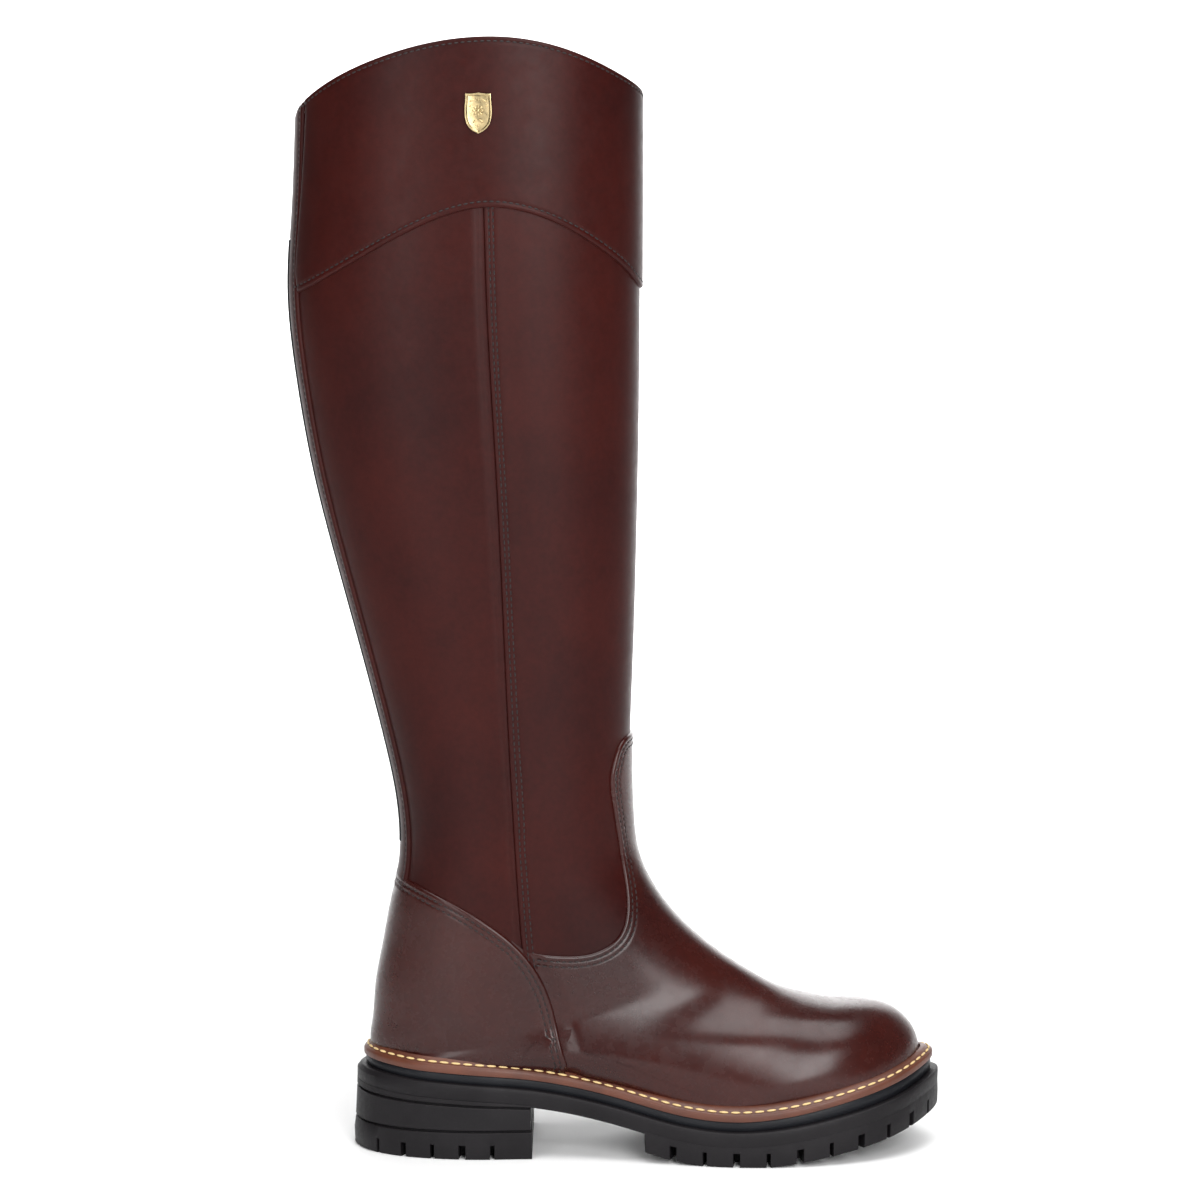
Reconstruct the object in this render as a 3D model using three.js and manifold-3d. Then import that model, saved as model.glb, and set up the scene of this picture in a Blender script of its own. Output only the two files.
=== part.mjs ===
// A knee-high riding boot for the right foot, with a lug sole, a zip on the inner side and an elastic back.
// Millimetres. +X points to the toe, +Z up, -Y to the outer side of the leg, +Y to the inner side.
// The origin lies on the ground, in the middle of the whole boot's length and width.

import * as THREE from "three";
import { mergeVertices } from "three/addons/utils/BufferGeometryUtils.js";
import Module from "manifold-3d";

const wasm = await Module();
wasm.setup();

// ---------------------------------------------------------------- driving dimensions

// Overall sizes. The pattern below is drawn at the sample size, and graded to these.
const sample = { soleLength: 265, bootHeight: 498, soleWidth: 99 };
const soleLength = 265;
const bootHeight = 498;
const soleWidth = 99;

// Upper, from outside to inside.
const overlayThickness = 1.3; // how far cuff, strip, vamp and foxing stand over the shaft panels
const leatherThickness = 1.6;
const stiffenerThickness = 0.7; // heel counter, toe puff and zip tapes
const liningThickness = 1.2;
const underlayThickness = 1.0; // leather guard behind the zip
const stripWidth = 29; // strip down the middle of the back
const goreWidth = 12.4; // elastic let into that strip
const goreProud = 0.5;
const goreBottom = 139;
const goreTop = 409;
const liningSeamHeight = 112; // where the shaft lining is sewn to the foot lining

// Sole, from top to bottom.
const weltWidths = { heel: 3.7, toe: 5.0 }; // how far the welt shows outside the upper
const weltSlopeHeight = 3.4;
const weltThickness = 3.0;
const weltInsets = { heel: 2.0, toe: 2.6 }; // how far the welt's edge lies inside the outsole's edge
const threadDiameter = 1.1;
const midsoleThickness = 4.3;
const midsoleToeExtra = 1.5; // the midsole and the wall under it are deeper at the toe
const midsoleRecess = 1.0; // behind the welt's edge
const forefootWall = 16.4; // outsole rim to ground at the ends of the tread that meets the ground
const toeWallExtra = 0.8;
const shankPlate = 8.2; // outsole under the arch
const lugHeight = 6.5;
const lugDepth = 11; // how far a notch runs in from the edge
const lugWidths = [3.2, 1.9];
const lugPitch = 14.3;
const heelLugWidths = [1.6, 2.5, 1.8, 3.2, 2.0];
const heelLugPitch = 13.6;
const heelBreast = -38.5;
const heelLiftTop = 23.2;
const heelTreadTop = 12.8;
const heelRise = 0.045; // slope of the upper heel joint towards the back
const heelTaper = 2.6; // the heel block is this much smaller at the rim
const grooveDepth = 1.5;
const grooveHeight = 1.0;
const forefootTreadStart = 12.5;

// Inside of the foot.
const sockThickness = 4.4;
const boardThickness = 2.6;
const fillerThickness = 2.9;
const fillerInset = 13;
const shankSize = { length: 104, width: 14, thickness: 1.4, middle: -26 };

// Zip on the inner side: two rows, the slider that closes them and its puller.
const zipTop = 450;
const zipBottom = 112;
const zipSlotWidth = 9.4; // gap between the leather edges
const tapeWidth = 10.5;
const rowWidth = 2.3;
const rowThickness = 1.5;
const rowGap = 1.2; // between the two rows
const sliderSize = { length: 11, width: 8.2, plate: 1.2, post: 0.5 };
const sliderClearance = 0.45;
const sliderStart = 9; // slider's middle below the top of the zip
const bridge = { length: 8.4, width: 2.2, height: 2.9, bar: 0.9, foot: 0.9 };
const pullerSize = { length: 30, width: 7.2, thickness: 1.5, arm: 1.3, eye: 5.4 };

// Badge on the outer side of the cuff.
const badgeSize = { width: 11.8, height: 17.6, thickness: 1.5, rim: 1.1, relief: 0.5 };
const badgeHeight = 466;
const backingSize = { width: 8, height: 12 };

const clearance = 0.3; // between pieces that touch
const around = 10; // facets from the front line to the back line, on each side
const outlineFacets = 48;

// ---------------------------------------------------------------- grading

const seatHeight = 26; // lowest height of the drawn feather edge
const lengthGrade = soleLength / sample.soleLength;
const heightGrade = (bootHeight - seatHeight) / (sample.bootHeight - seatHeight);
const widthGrade = soleWidth / sample.soleWidth;
const sampleStack = 3.0 + 4.3 + 16.4 + 3.4; // sole under the feather edge at the sample size
const stackRise = weltThickness + midsoleThickness + forefootWall + weltSlopeHeight - sampleStack;

const gradeX = (x) => x * lengthGrade;
const gradeY = (y) => y * widthGrade;
const gradeZ = (z) => seatHeight + stackRise + (z - seatHeight) * heightGrade;
const gradeLine = (line) => line.map(([x, z]) => [gradeX(x), gradeZ(z)]);

// ---------------------------------------------------------------- curves

// A natural cubic spline through values at rising places.
function spline(places, values) {
  const last = places.length - 1;
  const step = places.slice(1).map((place, i) => place - places[i]);
  const slope = step.map((length, i) => (values[i + 1] - values[i]) / length);
  const bend = new Array(last + 1).fill(0);
  const ratio = new Array(last + 1).fill(0);
  for (let i = 1; i < last; i++) {
    const pivot = 2 * (step[i - 1] + step[i]) - step[i - 1] * ratio[i - 1];
    ratio[i] = step[i] / pivot;
    bend[i] = (6 * (slope[i] - slope[i - 1]) - step[i - 1] * bend[i - 1]) / pivot;
  }
  for (let i = last - 1; i > 0; i--) bend[i] -= ratio[i] * bend[i + 1];
  return (place) => {
    let i = 0;
    while (i < last - 1 && place > places[i + 1]) i++;
    const a = (places[i + 1] - place) / step[i];
    const b = 1 - a;
    const curve = (a ** 3 - a) * bend[i] + (b ** 3 - b) * bend[i + 1];
    return a * values[i] + b * values[i + 1] + (curve * step[i] ** 2) / 6;
  };
}

// A smooth line through drawn points, as a list of [x, z].
function smooth(points, perSpan = 2) {
  const curve = new THREE.SplineCurve(points.map(([x, z]) => new THREE.Vector2(x, z)));
  return curve.getPoints(perSpan * (points.length - 1)).map((p) => [p.x, p.y]);
}

const moved = (line, dx, dz) => line.map(([x, z]) => [x + dx, z + dz]);

// Edge where the upper meets the welt, on the outer side: place along the foot, height.
const featherDrawn = [
  [-112, 47.6],
  [-86, 45.9],
  [-54, 43.8],
  [-26, 40.4],
  [2, 34.4],
  [28, 28.4],
  [54, 26.4],
  [80, 29.2],
  [104, 34.3],
  [122, 38.8],
  [140, 44.4],
];
const featherLine = spline(
  featherDrawn.map(([x]) => gradeX(x)),
  featherDrawn.map(([, z]) => gradeZ(z)),
);
const formDepth = 3.0; // the lasted upper reaches this far below the feather edge, behind the welt
const formBottom = (x) => featherLine(x) - formDepth;
const weltRidge = (x) => featherLine(x) - weltSlopeHeight;
const weltBottom = (x) => weltRidge(x) - weltThickness;
const { smoothstep, lerp } = THREE.MathUtils;
const toToe = (x) => smoothstep(x, gradeX(50), gradeX(130));
const outsoleRim = (x) => weltBottom(x) - midsoleThickness - midsoleToeExtra * toToe(x);
const treadBottom = (x) => Math.max(0, outsoleRim(x) - forefootWall - toeWallExtra * toToe(x));

// Top of the shaft: its middle height, and how much the outer side is higher than the inner side.
const topMiddle = spline(
  [-150, -132, -106, -59, -9, 14].map(gradeX),
  [459, 468, 474, 477.7, 475.5, 472.6].map(gradeZ),
);
const topTilt = spline([-150, -106, -59, -10, 14].map(gradeX), [9, 16.8, 20.7, 17, 11]);
const topLine = (x, y) => topMiddle(x) - (topTilt(x) * y) / gradeY(42);

const cuffEdge = smooth(
  gradeLine([
    [-165, 374],
    [-138.7, 387.1],
    [-102.9, 407.9],
    [-85.5, 417],
    [-58.2, 425.2],
    [-24.8, 417.4],
    [-7.5, 406.6],
    [5.5, 394.5],
    [13, 382.6],
    [24, 364],
  ]),
);
const sideSeam = smooth(
  gradeLine([
    [-58.4, 440],
    [-57, 385],
    [-52.5, 297],
    [-48.9, 209],
    [-44.7, 128],
    [-41.5, 84],
  ]),
);
const vampEdge = smooth(
  gradeLine([
    [-43.5, 94.6],
    [-25.3, 92.5],
    [-7.5, 94.3],
    [1.4, 101],
    [4.5, 111],
    [3.6, 126.5],
    [-1.2, 158],
    [-2.2, 171.6],
    [0.4, 180.2],
    [7.5, 186.6],
    [24, 189],
  ]),
);
const foxingEdge = smooth(
  gradeLine([
    [-125, 127],
    [-98.5, 124.9],
    [-78.5, 118.1],
    [-60.8, 109],
    [-43.5, 95.6],
    [-34.2, 83],
    [-28.4, 68.1],
    [-22.5, 42],
    [-16, 14],
  ]),
);

// The zip runs straight down the inner side: place and height of its line.
const zipLineTop = [gradeX(-59.5), gradeZ(456)];
const zipLineBottom = [gradeX(-43.5), gradeZ(112)];
const zipLean = (zipLineTop[0] - zipLineBottom[0]) / (zipLineTop[1] - zipLineBottom[1]);
const zipX = (z) => zipLineBottom[0] + zipLean * (z - zipLineBottom[1]);
const innerWidthAt = (z) => gradeY(34.6 + (z - 112) * 0.0206);

// ---------------------------------------------------------------- the sole's outline in plan

const outlineDrawn = [
  [-119, 0],
  [-113, -17],
  [-97, -29],
  [-68, -35.5],
  [-35, -34.6],
  [-2, -37.5],
  [28, -44.6],
  [58, -49.4],
  [90, -46.5],
  [117, -36.5],
  [134, -22.5],
  [146, 2],
  [140.5, 20.5],
  [124, 36.5],
  [98, 47],
  [72, 49.4],
  [45, 43],
  [15, 33.5],
  [-12, 31],
  [-40, 33.4],
  [-68, 35.5],
  [-97, 29],
  [-113, 17],
];
const outlineCurve = new THREE.CatmullRomCurve3(
  outlineDrawn.map(([x, y]) => new THREE.Vector3(gradeX(x), gradeY(y), 0)),
  true,
  "centripetal",
);
const outlineLength = outlineCurve.getLength();

// A point of the outline a share of the way round from the back of the heel, moved in by an inset.
function outlinePoint(share, inset) {
  const at = outlineCurve.getPointAt(share);
  const along = outlineCurve.getTangentAt(share);
  const distance = typeof inset === "function" ? inset(at.x) : inset;
  return [at.x - along.y * distance, at.y + along.x * distance];
}

// The heel block tapers towards its rim round the back, and the welt is narrower there.
const heelInset = (share) => (x) => heelTaper * share * (1 - smoothstep(x, gradeX(-114), gradeX(-84)));
const heelToToe = (x) => smoothstep(x, gradeX(-60), gradeX(40));
const weltInset = (x) => lerp(weltInsets.heel, weltInsets.toe, heelToToe(x)) + heelInset(1)(x);
const weltWidth = (x) => lerp(weltWidths.heel, weltWidths.toe, heelToToe(x));
const upperInset = (x) => weltInset(x) + weltWidth(x);

// Half width of the upper's lower edge at a place along the foot, on the outer (-1) or inner (1) side.
const outlineSteps = 480;
const upperEdge = Array.from({ length: outlineSteps + 1 }, (_, i) =>
  outlinePoint(i / outlineSteps, (x) => upperInset(x) + overlayThickness),
);
function featherHalfWidth(x, side) {
  for (let i = 1; i < outlineSteps / 2; i++) {
    const [a, b] = side < 0 ? [i - 1, i] : [outlineSteps - i + 1, outlineSteps - i];
    const [[fromX, fromY], [toX, toY]] = [upperEdge[a], upperEdge[b]];
    if (fromX <= x && toX >= x) return Math.abs(THREE.MathUtils.mapLinear(x, fromX, toX, fromY, toY));
  }
  return 0;
}

// ---------------------------------------------------------------- the form

// Sections of the upper, fanned from the top of the shaft down round the heel to the toe. Each lies in a
// plane from its front point to its back point, and has an outer and an inner half width and the place of
// its greatest width from back to front. Those that end under the foot have corners at the feather edge,
// and the front point of those in the toe leans to the inner side.
const roundness = { shaft: 2.12, toe: 1.86 }; // 2 is an oval, more is squarer
const shaftSections = [
  { front: [10.3, 512], back: [-139.2, 512], outer: 42.6 },
  { front: [10.3, 462], back: [-140.7, 462], outer: 43.0 },
  { front: [10.3, 422], back: [-142.5, 422], outer: 43.2 },
  { front: [10.2, 388], back: [-144.3, 388], outer: 43.0 },
  { front: [10.0, 350], back: [-141.0, 350], outer: 42.2 },
  { front: [9.4, 305], back: [-133.3, 305], outer: 40.8 },
  { front: [8.4, 260], back: [-122.1, 260], outer: 38.8 },
  { front: [7.0, 215], back: [-110.2, 215], outer: 36.6 },
  { front: [5.9, 180], back: [-101.6, 180], outer: 35.2 },
  { front: [6.6, 150], back: [-96.6, 150], outer: 34.6 },
];
const footSections = [
  { front: [9.3, 132], back: [-97.0, 129], outer: 33.8, inner: 35.0, wide: 0.48 },
  { front: [16.0, 117.4], back: [-100.6, 112], outer: 33.2, inner: 34.7, wide: 0.47 },
  { front: [26.3, 103.5], back: [-104.4, 92], outer: 32.4, inner: 34.0, wide: 0.45 },
  { front: [38.5, 92], back: [-107.9, 72], outer: 31.8, inner: 32.2, wide: 0.42 },
  { front: [49.5, 83.8], back: [-109.3, 56], outer: 31.4, inner: 31.4, wide: 0.4 },
  { front: [57, 79], back: [-109.2, 45], outer: 31.4, inner: 31, wide: 0.4, cornered: true },
  { front: [65, 74.2], back: [-98, 43.6], outer: 31.9, inner: 31.2, wide: 0.4, cornered: true },
  { front: [76, 69.2], back: [-74, 42.1], outer: 33.2, inner: 32, wide: 0.4, cornered: true },
  { front: [88, 66.1], back: [-40, 39.3], outer: 35.2, inner: 33.8, wide: 0.38, cornered: true },
  { front: [99, 64.6], back: [-6, 33.3], outer: 37.4, inner: 36.4, wide: 0.34, cornered: true },
  { front: [109, 64.1], back: [24, 26.3], outer: 39.2, inner: 38.6, wide: 0.3, cornered: true, lean: 0.6 },
  { front: [118, 62.8], back: [46, 23.6], outer: 40.2, inner: 39.8, wide: 0.26, cornered: true, lean: 1.2 },
  { front: [125.5, 59.6], back: [62, 23.9], outer: 40.2, inner: 40.2, wide: 0.2, cornered: true, lean: 1.9 },
  { front: [131.3, 54.2], back: [74, 25.2], outer: 39, inner: 40.4, wide: 0.14, cornered: true, lean: 2.7 },
  { front: [134.8, 47.8], back: [84, 27.2], outer: 37.4, inner: 39.6, wide: 0.09, cornered: true, lean: 3.3 },
  { front: [136.4, 40.2], back: [92, 28.8], outer: 35.6, inner: 38.2, wide: 0.05, cornered: true, lean: 3.8 },
];
const sections = [...shaftSections, ...footSections].map((drawn) => {
  const [frontX, frontZ] = [gradeX(drawn.front[0]), gradeZ(drawn.front[1])];
  const [backX, backZ] = [gradeX(drawn.back[0]), gradeZ(drawn.back[1])];
  const wideAtZip = (zipX(frontZ) - backX) / (frontX - backX);
  return {
    frontX,
    frontZ,
    backX,
    backZ,
    outer: gradeY(drawn.outer),
    inner: drawn.inner === undefined ? innerWidthAt(frontZ) : gradeY(drawn.inner),
    wide: drawn.wide ?? wideAtZip,
    cornered: drawn.cornered === true,
    lean: gradeY(drawn.lean ?? 0),
    roundness: lerp(roundness.shaft, roundness.toe, smoothstep(backX, gradeX(-40), gradeX(92))),
  };
});

// One side of a section: points from the front line to the back line or the lower corner, as the share of
// the way from back to front and the half width. It is two quarters of an oval that meet at the widest
// place, and the rear quarter is cut off where it is as narrow as the corner.
function sideOfSection(width, wide, corner, roundness) {
  const points = [];
  const share = Math.min(0.985, corner / width);
  const rear = wide / (1 - share ** roundness) ** (1 / roundness);
  const rearEnd = Math.asin(Math.sqrt(share ** roundness));
  for (let i = 0; i <= around; i++) {
    const turn = (i / around) * 2;
    if (turn <= 1) {
      const angle = (turn * Math.PI) / 2;
      points.push([
        wide + (1 - wide) * Math.cos(angle) ** (2 / roundness),
        width * Math.sin(angle) ** (2 / roundness),
      ]);
    } else {
      const angle = Math.PI / 2 - (turn - 1) * (Math.PI / 2 - rearEnd);
      points.push([
        wide - rear * Math.cos(angle) ** (2 / roundness),
        width * Math.sin(angle) ** (2 / roundness),
      ]);
    }
  }
  return points;
}

// Places of the sections along the fan, from how far their ends lie apart.
const fanPlaces = [0];
for (let i = 1; i < sections.length; i++) {
  const [a, b] = [sections[i - 1], sections[i]];
  const front = Math.hypot(b.frontX - a.frontX, b.frontZ - a.frontZ);
  const back = Math.hypot(b.backX - a.backX, b.backZ - a.backZ);
  fanPlaces.push(fanPlaces[i - 1] + (front + back) / 2);
}
// How each measure of a section runs along the fan.
const fan = {};
for (const key of Object.keys(sections[0])) {
  fan[key] = spline(
    fanPlaces,
    sections.map((section) => section[key]),
  );
}

const soleStart = fanPlaces[sections.findIndex((section) => section.cornered)];
const narrowest = 0.6;

// One closed ring of the form: down the outer side from front to back, then up the inner side.
function formRing(place) {
  const at = Object.fromEntries(Object.entries(fan).map(([key, curve]) => [key, curve(place)]));
  const point = ([share, width], side) => [
    at.backX + share * (at.frontX - at.backX),
    side * width + share * at.lean,
    at.backZ + share * (at.frontZ - at.backZ),
  ];
  const corner = (side) => Math.max(narrowest, place < soleStart ? 0 : featherHalfWidth(at.backX, side));
  const outer = sideOfSection(at.outer, at.wide, corner(-1), at.roundness).map((p) => point(p, -1));
  const inner = sideOfSection(at.inner, at.wide, corner(1), at.roundness).map((p) => point(p, 1));
  return [...outer, ...inner.reverse().slice(0, -1)];
}

// ---------------------------------------------------------------- solids

function meshSolid(positions, triangles) {
  return new wasm.Manifold(
    new wasm.Mesh({
      numProp: 3,
      vertProperties: new Float32Array(positions),
      triVerts: new Uint32Array(triangles),
    }),
  );
}

function solidOf(geometry) {
  const bare = geometry.clone();
  bare.deleteAttribute("normal");
  bare.deleteAttribute("uv");
  const merged = mergeVertices(bare, 1e-4);
  return meshSolid(merged.attributes.position.array, merged.index.array);
}

function geometryOf(solid) {
  const { vertProperties, triVerts, numProp, numVert } = solid.getMesh();
  const positions = new Float32Array(numVert * 3);
  for (let i = 0; i < numVert; i++) {
    positions.set(vertProperties.subarray(i * numProp, i * numProp + 3), i * 3);
  }
  const geometry = new THREE.BufferGeometry();
  geometry.setAttribute("position", new THREE.BufferAttribute(positions, 3));
  geometry.setIndex(new THREE.BufferAttribute(new Uint32Array(triVerts), 1));
  geometry.computeVertexNormals();
  return geometry;
}

// The closed surface through a row of rings with as many points each.
function loftGeometry(rings) {
  const count = rings[0].length;
  const positions = rings.flat(2);
  const triangles = [];
  for (let ring = 0; ring < rings.length - 1; ring++) {
    for (let i = 0; i < count; i++) {
      const a = ring * count + i;
      const b = ring * count + ((i + 1) % count);
      triangles.push(a, b, a + count, b, b + count, a + count);
    }
  }
  const addCap = (first, turned) => {
    const middle = positions.length / 3;
    const ring = positions.slice(first * 3, (first + count) * 3);
    for (let axis = 0; axis < 3; axis++) {
      let total = 0;
      for (let i = 0; i < count; i++) total += ring[i * 3 + axis];
      positions.push(total / count);
    }
    for (let i = 0; i < count; i++) {
      const [a, b] = [first + i, first + ((i + 1) % count)];
      triangles.push(...(turned ? [middle, b, a] : [middle, a, b]));
    }
  };
  addCap(0, true);
  addCap((rings.length - 1) * count, false);
  const geometry = new THREE.BufferGeometry();
  geometry.setAttribute("position", new THREE.BufferAttribute(new Float32Array(positions), 3));
  geometry.setIndex(triangles);
  geometry.computeVertexNormals();
  return geometry;
}

// The form, grown or shrunk by an even distance all over.
const shaftRings = 9;
const footRings = 17;
const ankle = fanPlaces[shaftSections.length];
const formPlaces = [
  ...Array.from({ length: shaftRings }, (_, i) => (i / shaftRings) * ankle),
  ...Array.from(
    { length: footRings + 1 },
    (_, i) => ankle + (i / footRings) * (fanPlaces.at(-1) - ankle),
  ),
];
const formGeometry = loftGeometry(formPlaces.map(formRing));
const formCache = new Map();
function form(offset) {
  if (!formCache.has(offset)) {
    const position = formGeometry.attributes.position.array;
    const normal = formGeometry.attributes.normal.array;
    const grown = position.map((value, i) => value + normal[i] * offset);
    formCache.set(offset, meshSolid(grown, formGeometry.index.array));
  }
  return formCache.get(offset);
}
const shell = (outside, inside) => form(outside).subtract(form(inside));

// A side-view outline, made into a block from one side of the boot to the other.
const reach = 90;
function block(outline, from = -reach, to = reach) {
  const shape = new THREE.Shape(outline.map(([x, z]) => new THREE.Vector2(x, z)));
  const geometry = new THREE.ExtrudeGeometry(shape, { depth: to - from, bevelEnabled: false });
  geometry.rotateX(Math.PI / 2); // the outline stands up, and the depth runs to -Y
  geometry.translate(0, to, 0);
  return solidOf(geometry);
}

function box(width, depth, height, x = 0, y = 0, z = 0) {
  return solidOf(new THREE.BoxGeometry(width, depth, height).translate(x, y, z));
}

// ---------------------------------------------------------------- slabs of the sole

// Slab between levels of the outline, from the lowest to the highest: an inset and a height along the foot.
function slab(levels) {
  const positions = [];
  const triangles = [];
  const count = outlineFacets;
  for (const { inset, height } of levels) {
    for (let i = 0; i < count; i++) {
      const [x, y] = outlinePoint(i / count, inset);
      positions.push(x, y, height(x));
    }
  }
  for (let level = 0; level < levels.length - 1; level++) {
    for (let i = 0; i < count; i++) {
      const a = level * count + i;
      const b = level * count + ((i + 1) % count);
      triangles.push(a, b, a + count, b, b + count, a + count);
    }
  }
  const top = (levels.length - 1) * count;
  for (let i = 0; i < count / 2; i++) {
    const [a, b] = [i, i + 1];
    const [c, d] = [(count - i) % count, count - i - 1];
    if (d !== b) {
      triangles.push(top + a, top + b, top + d);
      triangles.push(a, d, b);
    }
    if (c !== a) {
      triangles.push(top + a, top + d, top + c);
      triangles.push(a, c, d);
    }
  }
  return meshSolid(positions, triangles);
}

// Stations along the foot where height lines are sampled, 0 to 24.
const stationX = (i) => gradeX(-160 + i * 13.5);
const flat = (height) => () => height;
const raised = (line, by) => (x) => line(x) + by;

// Block under a height line along the foot.
function under(line) {
  const outline = [];
  for (let i = 0; i <= 24; i++) {
    const x = stationX(i);
    outline.push([x, line(x)]);
  }
  return block([...outline, [stationX(24), -40], [stationX(0), -40]]);
}

// ---------------------------------------------------------------- materials

const finish = (color, roughness, metalness = 0) =>
  new THREE.MeshStandardMaterial({ color, roughness, metalness });
const shaftLeather = finish(0x442422, 0.42);
const footLeather = finish(0x4f2620, 0.32);
const liningLeather = finish(0x8a6a4c, 0.7);
const elasticWeb = finish(0x141214, 0.85);
const weltLeather = finish(0x78401f, 0.5);
const linenThread = finish(0xe8cc90, 0.8);
const midsoleRubber = finish(0x1c1f26, 0.55);
const soleRubber = finish(0x262326, 0.6);
const badgeBrass = finish(0xbea56e, 0.3, 1);
const zipMetal = finish(0x8c7d62, 0.3, 1);
const zipTapeWeb = finish(0x35201c, 0.9);
const fibreBoard = finish(0xa98a63, 0.9);
const cork = finish(0x9c7a50, 0.95);
const steel = finish(0x8b8d90, 0.35, 1);
const stiffener = finish(0xcfc6b4, 0.8);
const foam = finish(0xb08f68, 0.85);

// The largest body of a solid, without the thin slivers a cut can leave beside it.
function mainBody(solid) {
  return solid.decompose().reduce((best, body) => (body.volume() > best.volume() ? body : best));
}

const boot = new THREE.Group();
function addPart(name, solid, material, parent = boot) {
  const mesh = new THREE.Mesh(geometryOf(mainBody(solid)), material);
  mesh.name = name;
  parent.add(mesh);
  return mesh;
}

// ---------------------------------------------------------------- cutting blocks for the upper

const high = gradeZ(560);
const low = -40;
const gap = clearance / 2;
const farFront = gradeX(175);
const farBack = gradeX(-190);

// Everything over the top line, lowered by an amount.
function overTop(lowered) {
  const rings = [];
  const edge = gradeY(55);
  for (let i = 0; i <= 32; i++) {
    const x = gradeX(-170 + i * 6);
    rings.push([
      [x, edge, topLine(x, edge) - lowered],
      [x, edge, high + 60],
      [x, -edge, high + 60],
      [x, -edge, topLine(x, -edge) - lowered],
    ]);
  }
  return solidOf(loftGeometry(rings).toNonIndexed());
}

const lastingMargin = 0.9; // clears the turn of the form under the foot
const lastingLine = raised(formBottom, leatherThickness + lastingMargin);
const aboveLasting = block([
  ...Array.from({ length: 25 }, (_, i) => [stationX(i), lastingLine(stationX(i))]),
  [stationX(24), high],
  [stationX(0), high],
]);
const aboveCuffEdge = block([...moved(cuffEdge, 0, gap), [farFront, high], [farBack, high]]);
const belowCuffEdge = block([...moved(cuffEdge, 0, -gap), [farFront, low], [farBack, low]]);
const foxingBlock = (grow) =>
  block([...moved(foxingEdge, grow, grow), [farBack, low], [farBack, gradeZ(127)]]);
const vampBlock = (grow) =>
  block([
    [gradeX(-75), gradeZ(98)],
    ...moved(vampEdge, -grow, grow),
    [farFront, gradeZ(189)],
    [farFront, low],
    [gradeX(-75), low],
  ]);
const foxingClear = foxingBlock(gap);
const besideSeam = (farEnd, shift) =>
  block([...moved(sideSeam, shift, 0), [farEnd, gradeZ(84)], [farEnd, gradeZ(440)]], -reach, 0);
const innerHalf = (toFront, shift) =>
  block(
    [
      [zipX(low) + shift, low],
      [zipX(high) + shift, high],
      [toFront ? farFront : farBack, high],
      [toFront ? farFront : farBack, low],
    ],
    0,
    reach,
  );

// Everything between two heights, from one side of the boot to another.
function between(bottom, top, from = -reach, to = reach) {
  return block(
    [
      [farBack, bottom],
      [farFront, bottom],
      [farFront, top],
      [farBack, top],
    ],
    from,
    to,
  );
}

// Upright band along the zip line on the inner side, between two distances from the line.
function zipBand(from, to, bottom, top) {
  return block(
    [
      [zipX(bottom) + from, bottom],
      [zipX(bottom) + to, bottom],
      [zipX(top) + to, top],
      [zipX(top) + from, top],
    ],
    5,
    reach,
  );
}
const zipSlot = zipBand(-zipSlotWidth / 2, zipSlotWidth / 2, gradeZ(zipBottom) - 2, high);
const backZone = (width, bottom = low, top = high) =>
  box(gradeX(110), width, top - bottom, gradeX(-135), 0, (top + bottom) / 2);
const stripZone = backZone(stripWidth - clearance);
const stripClearZone = backZone(stripWidth + clearance);

// ---------------------------------------------------------------- leather of the upper

const panelShell = shell(0, -leatherThickness);
const overlayShell = shell(overlayThickness, -leatherThickness);
const overTopEdge = overTop(0);

const cuffRing = overlayShell.intersect(aboveCuffEdge).subtract(overTopEdge).subtract(stripClearZone);
const cuffFrontZone = between(low, high, -reach, 0).add(innerHalf(true, 0));
addPart("cuff_front", cuffRing.intersect(cuffFrontZone).subtract(zipSlot), shaftLeather);
addPart("cuff_rear", cuffRing.intersect(innerHalf(false, 0)).subtract(zipSlot), shaftLeather);

const shaftPanels = [foxingClear, vampBlock(gap), stripClearZone, zipSlot].reduce(
  (left, cut) => left.subtract(cut),
  panelShell.intersect(belowCuffEdge),
);
const frontZone = besideSeam(farFront, gap).add(innerHalf(true, gap));
addPart("front_shaft_panel", shaftPanels.intersect(frontZone), shaftLeather);
addPart("rear_lateral_panel", shaftPanels.intersect(besideSeam(farBack, -gap)), shaftLeather);
addPart("rear_medial_panel", shaftPanels.intersect(innerHalf(false, -gap)), shaftLeather);

const goreSlot = backZone(goreWidth + clearance, gradeZ(goreBottom), gradeZ(goreTop));
const goreZone = backZone(
  goreWidth - clearance,
  gradeZ(goreBottom) + clearance,
  gradeZ(goreTop) - clearance,
);
const strip = overlayShell.intersect(stripZone).subtract(overTopEdge).subtract(foxingClear);
addPart("back_strip", strip.subtract(goreSlot), shaftLeather);
const goreShell = shell(overlayThickness + goreProud, -leatherThickness);
addPart("elastic_gore", goreShell.intersect(goreZone), elasticWeb);

const footShell = overlayShell.intersect(aboveLasting);
addPart("vamp", footShell.intersect(vampBlock(-gap)).subtract(foxingClear), footLeather);
addPart("heel_foxing", footShell.intersect(foxingBlock(-gap)), footLeather);

// ---------------------------------------------------------------- linings and stiffeners

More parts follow.
